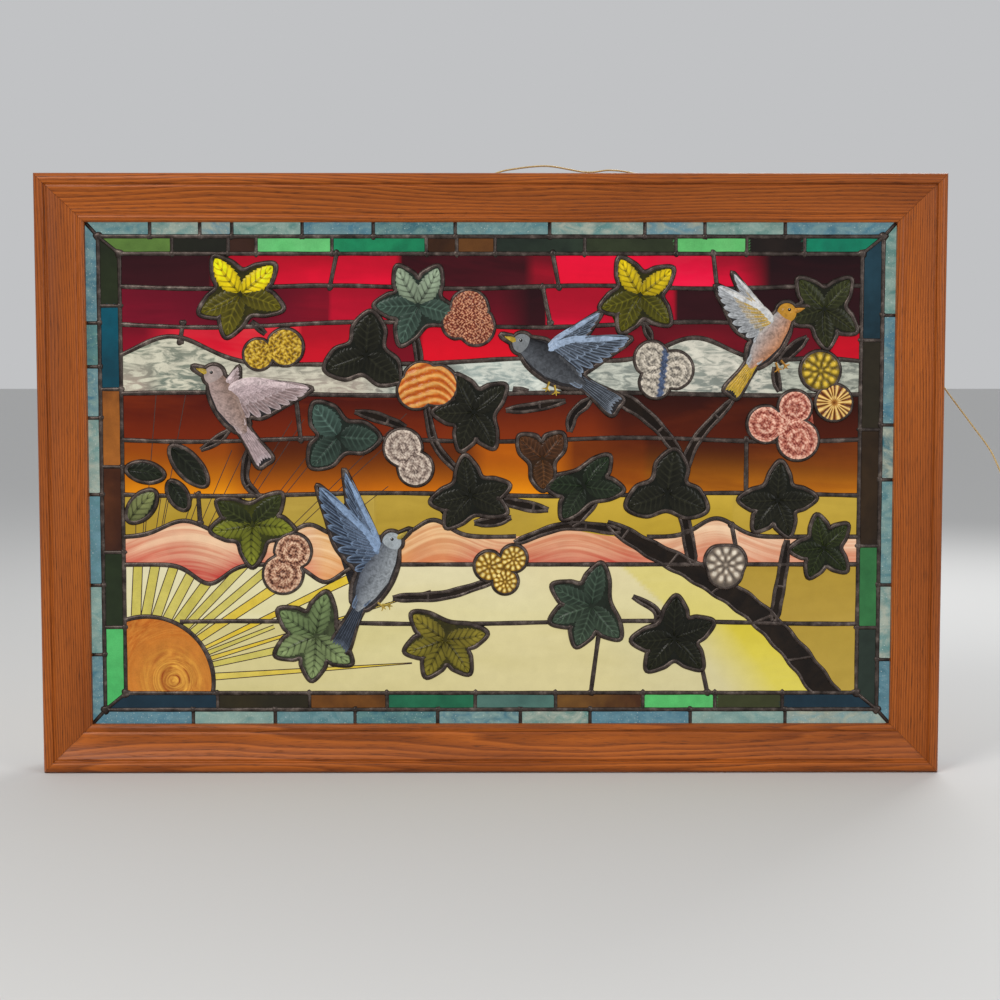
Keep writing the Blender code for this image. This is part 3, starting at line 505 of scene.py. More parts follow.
# %% Cord finish
cord_finish = Finish("clear_gold_cord", Roughness=0.22, IOR=1.5, Coat_Roughness=0.08)
cord_here = cord_finish.place((1, 1, 1))
strands = cord_finish.noise(cord_finish.place((900, 140, 900)), 1.0, 2.0)
cord_gold = cord_finish.ramp(strands, (0.35, shade(150, 112, 48)), (0.62, shade(226, 200, 140)))
cord_finish.feed("Base Color", cord_gold)
cord_finish.feed("Coat Weight", cord_finish.noise(cord_here, 30.0) * 0.4 + 0.35)
cord_finish.bump(strands, 0.15 * MM, 0.4)

# %% Cord
def carried(section, path, sideways, closed=False):
    """A section carried along a path: each point is the path's, plus the section's first number along the
    sideways direction made square to the path, plus its second along the direction square to both."""
    ahead = np.roll(path, -1, axis=0) - np.roll(path, 1, axis=0)
    if not closed:
        ahead[0] = path[1] - path[0]
        ahead[-1] = path[-1] - path[-2]
    ahead /= np.linalg.norm(ahead, axis=1, keepdims=True)
    aside = np.broadcast_to(np.array(sideways, float), path.shape)
    aside = aside - (aside * ahead).sum(axis=1, keepdims=True) * ahead
    aside /= np.linalg.norm(aside, axis=1, keepdims=True)
    up = np.cross(ahead, aside)
    section = np.asarray(section, float)
    if section.ndim == 2:
        section = np.broadcast_to(section, (len(path), *section.shape))
    return path[:, None] + section[..., :1] * aside[:, None] + section[..., 1:] * up[:, None]


round_turn = np.radians(np.arange(0, 360, 22.5))
half_thick = 1.45 * MM
waist = 0.62 + 0.38 * np.abs(np.cos(round_turn)) ** 0.8
twin = np.stack([CORD_WIDTH / 2 * np.cos(round_turn), half_thick * np.sin(round_turn) * waist], axis=1)
cord_shape = Shape()
cord_shape.surface(carried(twin, cord_path, (0, 1, 0)), wrap_columns=True, caps=True)
cord = cord_shape.piece("flat_cord", cord_finish, ("cord", "cord_coil"), merge=1e-7)

# %% [markdown]
# ## Plug, grommet, clip and tie
#
# These are plain moulded pieces in the cord's own warm cream. The plug is a stack of rounded sections that
# swell from the strain relief to the grip, with two flat brass blades.

# %% Plug and cord fittings
cream_plastic = Finish("cream_plastic", Roughness=0.38)
speckle = cream_plastic.noise(cream_plastic.place(), 420.0, 2.0)
wear = cream_plastic.noise(cream_plastic.place(), 26.0, 4.0)
cream_plastic.feed(
    "Base Color", cream_plastic.ramp(wear, (0.3, shade(190, 168, 118)), (0.7, shade(214, 196, 150)))
)
cream_plastic.feed("Roughness", speckle * 0.2 + 0.3)
cream_plastic.bump(speckle, 0.05 * MM, 0.5)
brass = Finish("brass_blade", Metallic=1.0)
rub = brass.noise(brass.place((1, 1, 9)), 60.0)
brass.feed("Base Color", brass.ramp(rub, (0.3, shade(200, 165, 90)), (0.7, shade(232, 205, 130))))
brass.feed("Roughness", brass.noise(brass.place(), 90.0) * 0.3 + 0.15)

plug_drop = np.array([0, 1, 4, 8, 12, 16, 18, 20, 24, 30, 36, 42, 45, 47, 48]) * MM
plug_half_x = np.interp(
    plug_drop / MM, (0, 16, 20, 24, 36, 44, 48), (4.0, 5.0, 10.6, 12.4, 12.0, 12.8, 10.5)
) * MM
plug_half_y = np.interp(plug_drop / MM, (0, 16, 20, 24, 36, 44, 48), (3.4, 4.2, 7.4, 8.9, 8.4, 9.2, 7.0)) * MM
relief_ring = 1.0 - 0.08 * (np.arange(15) % 2) * (plug_drop < 15 * MM)
corner = np.radians(np.arange(0, 360, 12))
squarish = 1 / (np.abs(np.cos(corner)) ** 3.2 + np.abs(np.sin(corner)) ** 3.2) ** (1 / 3.2)
plug_body = np.stack(
    [
        PLUG_X + (plug_half_x * relief_ring)[:, None] * (np.cos(corner) * squarish)[None],
        CORD_Y + (plug_half_y * relief_ring)[:, None] * (np.sin(corner) * squarish)[None],
        np.broadcast_to((PLUG_TOP - plug_drop)[:, None], (15, 30)),
    ],
    axis=-1,
)
plug_shape = Shape()
plug_shape.surface(plug_body, wrap_columns=True, caps=True)
plug = plug_shape.piece("plug_body", cream_plastic, ("cord_plug",), sharp=50)


def slab_box(low, high, ease):
    """An eased box: sections from end to end along Z, drawn in near both ends, each a rectangle with cut
    corners."""
    low, high = np.array(low, float), np.array(high, float)
    middle, half = (low + high) / 2, (high - low) / 2
    signs = np.array([(1, -1), (1, 1), (1, 1), (-1, 1), (-1, 1), (-1, -1), (-1, -1), (1, -1)], float)
    cuts = np.array([(0, 1), (0, 1), (1, 0), (1, 0), (0, 1), (0, 1), (1, 0), (1, 0)], float)
    levels = np.array([(-half[2], 1), (-half[2] + ease, 0), (half[2] - ease, 0), (half[2], 1)])
    rows = []
    for z, drawn in levels:
        across = (half[:2] - ease * drawn) * signs - ease * signs * cuts
        rows.append(np.concatenate([middle[:2] + across, np.full((8, 1), middle[2] + z)], axis=1))
    return np.array(rows)


BLADE_APART = 12.7 * MM
BLADE_HALF_X, BLADE_HALF_Y = 0.75 * MM, 3.1 * MM
BLADE_LENGTH = 15.5 * MM
blade_shape = Shape()
for side in (-1, 1):
    x = PLUG_X + side * BLADE_APART / 2
    bottom = PLUG_TOP - plug_drop[-1]
    blade_low = (x - BLADE_HALF_X, CORD_Y - BLADE_HALF_Y, bottom - BLADE_LENGTH)
    blade_high = (x + BLADE_HALF_X, CORD_Y + BLADE_HALF_Y, bottom + 1 * MM)
    blade_box = slab_box(blade_low, blade_high, 0.5 * MM)
    blade_shape.surface(blade_box, wrap_columns=True, caps=True)
blades = blade_shape.piece("plug_blades", brass, sharp=30)

tie_half_x = (36.2 - 24.3) / 2 * MM + 1.1 * MM
tie_half_y = 5.8 * MM + 1.1 * MM
tie_x = COIL_CENTRE[0] + (36.2 + 24.3) / 2 * MM
tie_turn = np.radians(np.arange(0, 360, 10))
tie_round = 1 / (np.abs(np.cos(tie_turn)) ** 4 + np.abs(np.sin(tie_turn)) ** 4) ** 0.25
tie_path = np.stack(
    [
        tie_x + tie_half_x * tie_round * np.cos(tie_turn),
        CORD_Y + tie_half_y * tie_round * np.sin(tie_turn),
        np.full(tie_turn.shape, COIL_CENTRE[2]),
    ],
    axis=1,
)
half_band = np.array([(-2.9, -0.5), (-2.4, -0.62), (2.4, -0.62), (2.9, -0.5)]) * MM
band = np.concatenate([half_band, -half_band])
tie_shape = Shape()
tie_shape.surface(carried(band, tie_path, (0, 0, 1), closed=True), wrap_rows=True, wrap_columns=True)
tie = tie_shape.piece("coil_tie", cream_plastic, ("cord_tie",), sharp=35)

grommet_foot = [(3.05, 0.3), (7.0, 0.3), (7.0, 1.6), (6.4, 2.1), (5.4, 2.5)]
grommet_neck = [(5.0, 3.6), (4.6, 4.7), (3.9, 5.0), (3.05, 4.8)]
grommet_section = np.array(grommet_foot + grommet_neck) * MM
around = np.radians(np.arange(0, 360, 10))
grommet_ring = np.stack(
    [
        GROMMET_X + grommet_section[None, :, 0] * np.cos(around)[:, None],
        CORD_Y + grommet_section[None, :, 0] * np.sin(around)[:, None],
        np.broadcast_to(BOX_TOP + grommet_section[None, :, 1], (len(around), len(grommet_section))),
    ],
    axis=-1,
)
grommet_shape = Shape()
grommet_shape.surface(grommet_ring, wrap_rows=True, wrap_columns=True)
grommet = grommet_shape.piece("top_grommet", cream_plastic, ("cord_grommet",), sharp=40)


def dress(node, finish):
    """Gives a solid that stays its finish."""
    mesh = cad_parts[node].data
    mesh.materials.clear()
    mesh.materials.append(finish.material)


dress("cord_clip", cream_plastic)
print("cord ends in its plug at", round(PLUG_X, 4), round(PLUG_TOP, 4))


# %% [markdown]
# ## Oak
#
# The frame is oiled oak. Its look has three scales: growth rings a few millimetres apart, which run
# straight on one member and in arches on another, open pores as fine dark dashes along the grain, and a
# slow change of colour. Rings are worked out as they grow, as distances from the tree's middle, so arches
# and stripes come by themselves.

# %% Oak finish
OAK_LIGHT = shade(180, 96, 31)
OAK_MIDDLE = shade(152, 77, 21)
OAK_DARK = shade(106, 48, 12)
OAK_PORE = shade(58, 25, 8)


def oak_finish(name, upright, pith, slope, seed, spacing=3.4 * MM, dull=0.0):
    """Oak whose grain runs along X, or along Z when upright. pith is where the tree's middle lies, (depth,
    across): a ring's distance is the root of the two squared distances from it, plus a slow wander and a
    slope."""
    made = Finish(name, Coat_Weight=0.08 - 0.07 * dull, Coat_Roughness=0.3, Specular_IOR_Level=0.2)
    here = made.place(turn=(0, math.pi / 2 if upright else 0, 0))
    along, deep, across = made.parts(here)
    wander = made.noise(made.scaled(here, (1.6, 9.0, 9.0), seed), 1.0, 2.0)
    ripple = made.noise(made.scaled(here, (7.0, 60.0, 60.0), seed), 1.0, 2.0)
    off_deep = deep - pith[0]
    off_across = across - pith[1]
    reach = (off_deep * off_deep + off_across * off_across) ** 0.5
    reach = reach + wander * 0.034 + ripple * 0.0026 + along * slope
    rings = reach / spacing + wander * 1.4
    rings = rings.maths("FRACT", rings)
    pores = made.noise(made.scaled(here, (42.0, 1300.0, 1300.0), seed), 1.0, 2.0, 0.6)
    fibre = made.noise(made.scaled(here, (14.0, 420.0, 420.0), seed), 1.0, 3.0)
    patches = made.noise(made.scaled(here, (2.5, 14.0, 14.0), seed), 1.0, 2.0)
    ring_colour = made.ramp(rings, (0.0, OAK_LIGHT), (0.35, OAK_MIDDLE), (0.82, OAK_DARK), (1.0, OAK_LIGHT))
    colour = made.mix(fibre * 0.55, ring_colour, OAK_LIGHT)
    colour = made.mix(made.ramp(patches, (0.4, 0.0), (0.7, 0.55)), colour, OAK_DARK)
    open_pores = made.ramp(pores, (0.56, 0.0), (0.66, 1.0)) * made.ramp(
        rings, (0.0, 0.35), (0.75, 1.0), (1.0, 0.35)
    )
    colour = made.mix(open_pores * 0.8, colour, OAK_PORE)
    if dull:
        colour = made.mix(dull, colour, shade(140, 104, 72))
    made.feed("Base Color", colour)
    made.feed("Roughness", fibre * 0.25 + 0.3 + 0.2 * dull)
    made.bump(fibre * 0.25 - open_pores, 0.22 * MM, 0.55)
    return made


# %% [markdown]
# ## The moulding
#
# Four mitred lengths of picture moulding: a round bead outside, a step, a wide shallow cove and a small lip
# at the glass. One section is carried along each side, and its ends run back at 45 degrees, as a mitre saw
# leaves them.

# %% Moulding
HALF_WIDTH = 580.0
HALF_HEIGHT = 385.0
FRAME_BACK = 56.3
MITRE_GAP = 0.21


def moulding_section():
    """The moulding's outline, (inward, forward) in millimetres. The bead is a quarter circle of radius 8,
    the cove falls as a quarter sine wave, and the lip is a small half wave."""
    bead = np.radians(np.linspace(0, 90, 9))
    cove = np.linspace(0, 1, 13)
    lip = np.linspace(0, 1, 9)
    rows = [
        np.array([(0, 0), (0, 12)]),
        np.stack([8 - 8 * np.cos(bead), 22 + 8 * np.sin(bead)], axis=1),
        np.array(
            [(10.5, 29.8), (12.4, 29.2), (13.1, 28.6), (13.6, 27.0), (14.2, 25.9), (15, 25.5), (16.6, 25.9)]
        ),
        np.stack([18 + 30 * cove, 26.5 - 9.5 * np.sin(cove * math.pi / 2)], axis=1),
        np.array([(49.6, 16.4), (50.4, 15.7), (51, 15.5)]),
        np.stack([51.4 + 9.6 * lip, 15.3 - 1.3 * lip + 2.3 * np.sin(lip * math.pi)], axis=1),
        np.array([(61, 6.4), (53, 6.4), (53, 0)]),
    ]
    return np.concatenate(rows)


section = moulding_section()
for side, upright, sign, pith, slope, seed in (
    ("top_rail", False, 1, (0.10, 0.62), 0.004, 1.7),
    ("bottom_rail", False, -1, (0.012, -0.352), 0.010, 6.1),
    ("left_stile", True, -1, (0.004, -0.545), -0.012, 12.4),
    ("right_stile", True, 1, (0.03, 0.50), 0.008, 21.9),
):
    out, run = (HALF_WIDTH, HALF_HEIGHT) if upright else (HALF_HEIGHT, HALF_WIDTH)
    share = np.linspace(-1, 1, 41)[:, None]
    along = share * (run - section[None, :, 0] - MITRE_GAP)
    across = np.broadcast_to(sign * (out - section[None, :, 0]), along.shape)
    depth = np.broadcast_to(-(FRAME_BACK + section[None, :, 1]), along.shape)
    rows = (across, depth, along) if upright else (along, depth, across)
    moulding = Shape()
    moulding.surface(np.stack(rows, axis=-1) * MM, wrap_columns=True, caps=True)
    finish = oak_finish("oak_" + side, upright, pith, slope, seed)
    moulding.piece("moulding_" + side, finish, ("frame_" + side,), sharp=32)

# %% [markdown]
# ## Box boards and back
#
# The box behind the frame is plain, so its solids stay and only take a finish: the same oak left unoiled on
# the boards, and birch plywood on the back panel, with its long flowing face grain.

# %% Box finishes
for name, upright, pith in (
    ("box_top_board", False, (0.3, 0.5)),
    ("box_bottom_board", False, (0.25, -0.62)),
    ("box_left_board", True, (0.2, -0.5)),
    ("box_right_board", True, (0.3, 0.4)),
):
    dress(name, oak_finish(name, upright, pith, 0.006, len(name) * 3.7, 4.2 * MM, dull=0.35))

ply = Finish("birch_ply", Roughness=0.6)
ply_here = ply.place()
sway = ply.noise(ply.scaled(ply_here, (1.4, 5.0, 6.0), 3.0), 1.0, 3.0)
ply_z = ply.parts(ply_here)[2]
veneer = ply_z * 26.0 + sway * 7.0
veneer = veneer.maths("FRACT", veneer)
ply_fibre = ply.noise(ply.scaled(ply_here, (9.0, 300.0, 300.0), 5.0), 1.0, 3.0)
PLY_LIGHT = ((0.0, shade(206, 170, 118)), (0.6, shade(190, 150, 98)))
PLY_DARK = ((0.9, shade(165, 122, 76)), (1.0, shade(200, 162, 110)))
ply_colour = ply.ramp(veneer, *PLY_LIGHT, *PLY_DARK)
ply_colour = ply.mix(ply_fibre * 0.6, ply_colour, shade(214, 184, 138))
ply.feed("Base Color", ply_colour)
ply.bump(ply_fibre, 0.12 * MM, 0.5)
dress("back_panel", ply)
print("box boards and back are finished")


# %% [markdown]
# ## Flat glass
#
# Sheet glass for such windows is rolled with its colour in streaks and clouds, and light comes through from
# behind. So each sheet has two colours that a noise mixes, different on every piece by its seed, and most
# of its light is its own glow, with a glossy wavy face on top. The sheets fill the bands between the lead
# lines.

# %% Glass finishes
def glass_finish(
    name, stretch, stops, glow, bend=0.8, wave=0.35, fleck=0.0, roughness=0.09, follows=False, even=0.0
):
    """Back-lit glass. stretch sets how the streaks run, stops how sharply tint turns to streak, glow how
    much light comes through, wave how uneven its face is and fleck how much the light sparkles in it.
    Streaks that follow a shape read their place from the grain attribute instead of the object. An even
    sheet has fainter clouds."""
    made = Finish(name, Roughness=roughness, IOR=1.5, Specular_IOR_Level=0.12, Emission_Strength=glow)
    tint = made.attribute("tint")
    streak = made.attribute("streak")
    seed = made.parts(made.attribute("grain", "Vector"))[2]
    here = made.place()
    track = made.attribute("grain", "Vector") if follows else here
    values = {"Vector": made.scaled(track, stretch), "W": seed, "Scale": 1.0}
    values.update({"Detail": 4.0, "Roughness": 0.55, "Distortion": bend})
    flow = made.node("ShaderNodeTexNoise", {"noise_dimensions": "4D"}, values)
    amount = made.ramp(flow, (stops[0], 0.0), (stops[1], 1.0))
    colour = made.mix(amount, tint, streak)
    grit = made.noise(here, 620.0, 2.0)
    mottle = made.noise(here, 75.0, 3.0)
    shading = made.ramp(mottle * 0.6 + grit * 0.4, (0.25, 0.72 + 0.2 * even), (0.75, 1.12 - 0.08 * even))
    colour = made.mix(1.0, colour, shading, "MULTIPLY")
    if fleck:
        sparkle = made.ramp(made.noise(here, 520.0, 1.0), (0.66, 0.0), (0.76, 1.0))
        colour = made.mix(sparkle * fleck, colour, (0.75, 0.82, 0.78))
    made.feed("Emission Color", colour)
    made.feed("Base Color", made.mix(0.9, colour, (0.004, 0.004, 0.004)))
    made.bump(flow * 0.5 + mottle * 0.5 + grit * 0.06, wave * MM, 0.5)
    return made


sky_glass = glass_finish("sky_glass", (3.0, 3.0, 16.0), (0.45, 0.75), 0.94, even=1.0)
cloud_glass = glass_finish("cloud_glass", (34.0, 34.0, 105.0), (0.42, 0.58), 0.9, 1.6, 0.9)
pink_glass = glass_finish(
    "pink_cloud_glass", (150.0, 5.0, 0.0), (0.40, 0.60), 0.96, 0.3, 0.4, follows=True, even=0.8
)
tile_glass = glass_finish("opal_tile_glass", (40.0, 40.0, 60.0), (0.35, 0.65), 0.72, 1.5, 0.9, 0.8)
clear_tile_glass = glass_finish("border_tile_glass", (11.0, 11.0, 11.0), (0.40, 0.72), 0.85, 0.5)
print("five kinds of flat glass")

# %% [markdown]
# ## Sky
#
# The sky is a stack of bands. Each lead line between them is a gentle sine wave, and the clouds' top is a
# sum of bell-shaped hills. A band is then a grid: one parameter runs across, the other from the lead below
# to the lead above.

# %% Sky lines
PICTURE_X = 476.5
PICTURE_Z = 284.5
GLASS_FRONT = 59.7
GLASS_BACK = 56.5
# Hills of the cloud lines: the middle, half width and height of each
CLOUD_HILLS = ((-412, 62, 36), (60, 110, 8), (262, 58, 34), (420, 70, 8))
PINK_HILLS = ((-398, 38, 21), (-236, 24, 16), (-75, 28, 22), (97, 40, 9), (292, 32, 24))
PINK_DIPS = ((-366, 28, -25), (-215, 26, -23))
# The arcs that the pink streaks follow
PINK_ARCS = ((-398, 96, 46), (-226, 46, 26), (-62, 62, 40), (105, 74, 34), (292, 60, 30))


def level(height):
    return lambda x: np.full(np.shape(x), float(height))


def wavy(height, rise, length, start):
    """A lead line: its height plus a sine wave of that rise and length."""
    return lambda x: height + rise * np.sin((np.asarray(x) - start) * 2 * math.pi / length)


def hilly(foot, hills, spread=1.0):
    """A cloud's lead line: a level foot plus bell-shaped hills. Each is its height times e to the power of
    minus the square of the distance from its middle, in half widths."""

    def bell(x, middle, half, high):
        return high * np.exp(-(((np.asarray(x) - middle) / half / spread) ** 2))

    return lambda x: foot + sum(bell(x, *hill) for hill in hills)


SKY_LINES = {
    "bottom": level(-PICTURE_Z),
    "pale": wavy(-192, 2.0, 520, 60),
    "pink_foot": hilly(-116, PINK_DIPS),
    "pink_top": hilly(-80, PINK_HILLS),
    "amber_foot": wavy(-25, 2.0, 450, 200),
    "brown_foot": wavy(46, 2.5, 380, 90),
    "cloud_foot": wavy(105, 2.0, 500, 0),
    "cloud_top": hilly(143, CLOUD_HILLS),
    "red_foot": wavy(194, 3.5, 420, 160),
    "maroon_foot": wavy(242, 2.0, 330, 40),
    "top": level(PICTURE_Z),
}


def slab_faces(shape, front, **colours):
    """A sheet of glass: its front grid, closed by a back that is one thickness behind it."""
    shape.lens(front, -GLASS_BACK * MM, **colours)


def sky_band(name, finish, foot, head, tiles, lean=0.0, climb=1.0, arc=None):
    """A band of sheet glass between two lead lines. tiles lists, from the left: where each starts, its
    colours at foot and head, its streak colour, and how wide the change from the last one is. lean tilts
    where they start. The colour climbs from foot to head as the share of the height to the power of climb.
    Streaks follow arc where it is given, and are nearer the foot's colour below."""
    x = np.linspace(-PICTURE_X, PICTURE_X, 319)
    low, high = SKY_LINES[foot](x), SKY_LINES[head](x)
    rows = max(6, int(np.ceil(float(np.max(high - low)) / 5)))
    share = np.linspace(0, 1, rows)[:, None]
    z = low + share * (high - low)
    x = np.broadcast_to(x, z.shape)
    tint = np.zeros((*z.shape, 3))
    streak = np.zeros_like(tint)
    seed = np.zeros(z.shape)
    for i, (start, at_foot, at_head, streaked, width) in enumerate(tiles):
        begins = start + lean * (z - (low + high) / 2)
        here = np.ones(z.shape) if i == 0 else np.clip((x - begins) / max(width, 1) + 0.5, 0, 1)
        colour = blend(np.array(shade(*at_foot)), np.array(shade(*at_head)), share[..., None] ** climb)
        tint += (colour - tint) * here[..., None]
        streaked = np.array(shade(*streaked))
        if arc:
            low_streak = blend(np.array(shade(*at_foot)), streaked, 0.3)
            streaked = blend(low_streak, streaked, share[..., None] ** climb)
        streak += (streaked - streak) * here[..., None]
        if width < 10:
            seed = np.where(here > 0.5, i * 1.7 + 0.3, seed)
    front = np.stack([x, np.full(z.shape, -GLASS_FRONT), z], axis=-1) * MM
    grain = np.stack([(z - arc(x)) * MM if arc else z * MM, x * MM, seed], axis=-1)
    band = Shape()
    slab_faces(band, front, tint=tint, streak=streak, grain=grain)
    replaced = ("leaded_ground",) if foot == "bottom" else ()
    return band.piece(name, finish, replaced, sharp=50)


# In the red bands at the top, each tile's brightness is partly the red glass's own colour and partly painted
# light. The bright red tiles carry the glow of the lamp tube inside the box, which shows through the glass
# there, and the dark ones get less of it.
MAROON = (56, 6, 16)
LAMP_LIT_RED = (224, 6, 46)
sky_band(
    "glass_maroon_sky",
    sky_glass,
    "maroon_foot",
    "top",
    (
        (-477, (46, 8, 16), (30, 5, 11), (60, 14, 22), 2),
        (-352, LAMP_LIT_RED, (176, 4, 32), (150, 4, 28), 20),
        (-203, (222, 4, 46), (190, 4, 38), (168, 4, 32), 2),
        (-118, MAROON, (34, 4, 10), (84, 10, 24), 8),
        (50, (160, 8, 34), (120, 6, 26), (92, 6, 22), 14),
        (83, LAMP_LIT_RED, (226, 6, 50), (190, 4, 40), 2),
        (205, (238, 10, 62), (200, 6, 48), (226, 60, 80), 30),
        (288, (214, 4, 48), (150, 4, 34), (120, 4, 28), 2),
        (336, (38, 8, 14), (22, 4, 9), (52, 12, 18), 44),
    ),
)
sky_band(
    "glass_red_sky_high",
    sky_glass,
    "red_foot",
    "maroon_foot",
    (
        (-477, (126, 8, 36), (104, 6, 30), (88, 5, 26), 2),
        (-385, (88, 6, 26), (62, 5, 18), (112, 8, 34), 60),
        (-262, (150, 6, 36), (112, 5, 28), (84, 5, 22), 60),
        (-207, (190, 6, 42), (168, 5, 36), (140, 5, 30), 2),
        (-128, (168, 6, 38), (140, 5, 30), (104, 5, 24), 40),
        (-14, (106, 6, 26), (78, 5, 20), (60, 4, 16), 8),
        (30, (46, 7, 15), (34, 5, 12), (62, 10, 20), 40),
        (71, (206, 6, 46), (184, 5, 38), (150, 4, 32), 2),
        (236, (42, 8, 15), (28, 5, 10), (56, 12, 20), 6),
        (330, (38, 8, 14), (30, 5, 11), (54, 12, 18), 30),
    ),
)
sky_band(
    "glass_red_sky_low",
    sky_glass,
    "cloud_top",
    "red_foot",
    (
        (-477, (134, 6, 32), (112, 5, 28), (92, 5, 24), 2),
        (-425, (208, 12, 40), (192, 8, 38), (224, 60, 70), 40),
        (-340, (216, 14, 40), (206, 10, 40), (228, 84, 84), 30),
        (-246, (196, 12, 34), (176, 8, 32), (150, 6, 28), 3),
        (-150, (116, 6, 26), (98, 5, 22), (78, 4, 18), 14),
        (-90, (216, 6, 32), (196, 5, 32), (168, 5, 28), 3),
        (40, (150, 8, 28), (112, 6, 24), (90, 5, 20), 20),
        (200, (118, 8, 26), (92, 6, 22), (74, 5, 18), 8),
        (330, (134, 8, 30), (104, 6, 24), (84, 5, 20), 30),
        (438, (196, 5, 32), (178, 5, 28), (150, 4, 26), 6),
    ),
)
sky_band(
    "glass_pale_clouds",
    cloud_glass,
    "cloud_foot",
    "cloud_top",
    (
        (-477, (168, 150, 136), (150, 156, 138), (212, 208, 186), 2),
        (-440, (118, 128, 116), (138, 142, 126), (212, 208, 186), 30),
        (-340, (172, 156, 144), (160, 158, 142), (208, 202, 182), 40),
        (-150, (112, 118, 110), (128, 132, 124), (188, 190, 176), 40),
        (-40, (146, 158, 154), (168, 180, 172), (214, 218, 206), 30),
        (120, (128, 134, 126), (140, 146, 138), (200, 202, 188), 40),
        (220, (132, 138, 130), (156, 160, 148), (216, 212, 196), 20),
        (360, (114, 118, 110), (130, 134, 124), (190, 192, 176), 30),
    ),
)
sky_band(
    "glass_red_brown_sky",
    sky_glass,
    "brown_foot",
    "cloud_foot",
    (
        (-477, (112, 34, 6), (72, 14, 6), (128, 44, 8), 2),
        (-249, (112, 36, 6), (70, 14, 6), (128, 46, 8), 2),
        (-60, (124, 44, 8), (74, 18, 8), (142, 58, 10), 40),
        (150, (78, 24, 6), (44, 10, 5), (98, 34, 8), 40),
        (330, (72, 22, 6), (40, 10, 5), (90, 32, 8), 30),
    ),
)
sky_band(
    "glass_amber_sky",
    sky_glass,
    "amber_foot",
    "brown_foot",
    (
        (-477, (240, 150, 6), (140, 62, 6), (176, 92, 6), 2),
        (-330, (200, 106, 4), (76, 26, 5), (108, 44, 5), 30),
        (-150, (208, 112, 4), (80, 28, 5), (114, 48, 5), 30),
        (-20, (240, 146, 4), (156, 72, 5), (190, 98, 5), 30),
        (96, (212, 118, 6), (86, 30, 5), (124, 54, 6), 24),
        (200, (212, 126, 12), (66, 22, 6), (104, 46, 8), 10),
        (330, (204, 122, 16), (82, 30, 8), (132, 64, 10), 2),
    ),
    climb=0.5,
)
sky_band(
    "glass_olive_sky",
    sky_glass,
    "pink_top",
    "amber_foot",
    (
        (-477, (168, 138, 42), (182, 152, 58), (150, 120, 34), 2),
        (-352, (172, 146, 56), (186, 158, 70), (152, 124, 44), 2),
        (-150, (176, 146, 50), (188, 158, 62), (156, 128, 42), 2),
        (60, (180, 150, 46), (196, 164, 58), (160, 130, 40), 30),
        (312, (184, 154, 54), (190, 160, 62), (162, 134, 46), 2),
    ),
)
sky_band(
    "glass_pink_clouds",
    pink_glass,
    "pink_foot",
    "pink_top",
    (
        (-477, (204, 96, 78), (208, 134, 104), (234, 194, 158), 2),
        (-410, (182, 28, 34), (212, 148, 114), (236, 200, 162), 60),
        (-325, (180, 34, 38), (204, 122, 96), (232, 188, 150), 40),
        (-292, (206, 116, 86), (216, 168, 126), (236, 202, 162), 20),
        (-225, (216, 142, 84), (216, 164, 106), (238, 202, 154), 20),
        (-110, (206, 122, 78), (210, 152, 104), (236, 196, 146), 30),
        (-40, (190, 62, 48), (206, 142, 104), (234, 194, 150), 40),
        (60, (184, 50, 44), (206, 136, 100), (234, 190, 150), 40),
        (190, (204, 108, 82), (212, 158, 122), (236, 202, 166), 30),
        (318, (206, 118, 86), (216, 160, 126), (240, 208, 174), 2),
    ),
    climb=0.7,
    arc=hilly(0, PINK_ARCS),
)
sky_band(
    "glass_pale_sky_high",
    sky_glass,
    "pale",
    "pink_foot",
    (
        (-477, (216, 208, 158), (220, 212, 172), (226, 218, 182), 2),
        (-200, (216, 206, 156), (220, 210, 168), (208, 196, 142), 60),
        (60, (214, 204, 154), (218, 206, 160), (206, 192, 136), 60),
        (208, (212, 198, 112), (216, 202, 126), (202, 186, 96), 6),
        (318, (176, 146, 60), (172, 142, 52), (160, 130, 44), 4),
    ),
    -1.1,
)
sky_band(
    "glass_pale_sky_low",
    sky_glass,
    "bottom",
    "pale",
    (
        (-477, (208, 196, 142), (212, 202, 146), (200, 188, 128), 2),
        (-60, (210, 198, 146), (214, 202, 150), (202, 190, 134), 60),
        (160, (208, 198, 150), (212, 202, 152), (200, 188, 138), 60),
        (310, (212, 198, 92), (208, 190, 60), (216, 200, 72), 70),
        (384, (176, 148, 62), (170, 142, 54), (160, 132, 46), 4),
    ),
    -0.75,
)

# %% [markdown]
# ## Two borders of tiles
#
# Each side of a border is a strip with mitred corners. One parameter runs along it, the other from its
# inner lead to its outer lead, and the corners come out by themselves because the strip's length grows as
# it goes outward.

# %% Border tiles
OUTER_X, OUTER_Z = 503.5, 306.5
EDGE_X, EDGE_Z = 524.0, 329.0
# Where short leads cross the outer border and the inner one, along each side
OUTER_LEADS = {
    "top": (-437, -373, -332, -242, -151, -46, 75, 197, 274, 377),
    "bottom": (-389, -282, -178, -70, 38, 129, 260, 384),
    "left": (196, 140, 74, -25, -143, -234),
    "right": (206, 65, -6, -143, -241),
}
INNER_LEADS = {
    "top": (-409, -337, -301, -204, -83, -44, 5, 120, 237, 328, 402),
    "bottom": (-357, -237, -136, -21, 84, 198, 292, 380),
    "left": (218, 111, 11, -100, -198),
    "right": (174, 59, -92, -199),
}
TEAL = ((98, 142, 148), (112, 154, 150), (84, 128, 142), (108, 150, 142), (86, 132, 150), (128, 164, 158))
TEAL_STREAK = (
    (142, 172, 166), (74, 120, 130), (130, 164, 166), (160, 184, 172), (112, 152, 164), (182, 190, 174)
)
BLACK_OLIVE = (32, 33, 24)
DARK_BROWN = (52, 30, 18)
BROWN = (104, 64, 28)
DARK_OLIVE = (58, 62, 36)
DEEP_BLUE = (28, 52, 66)


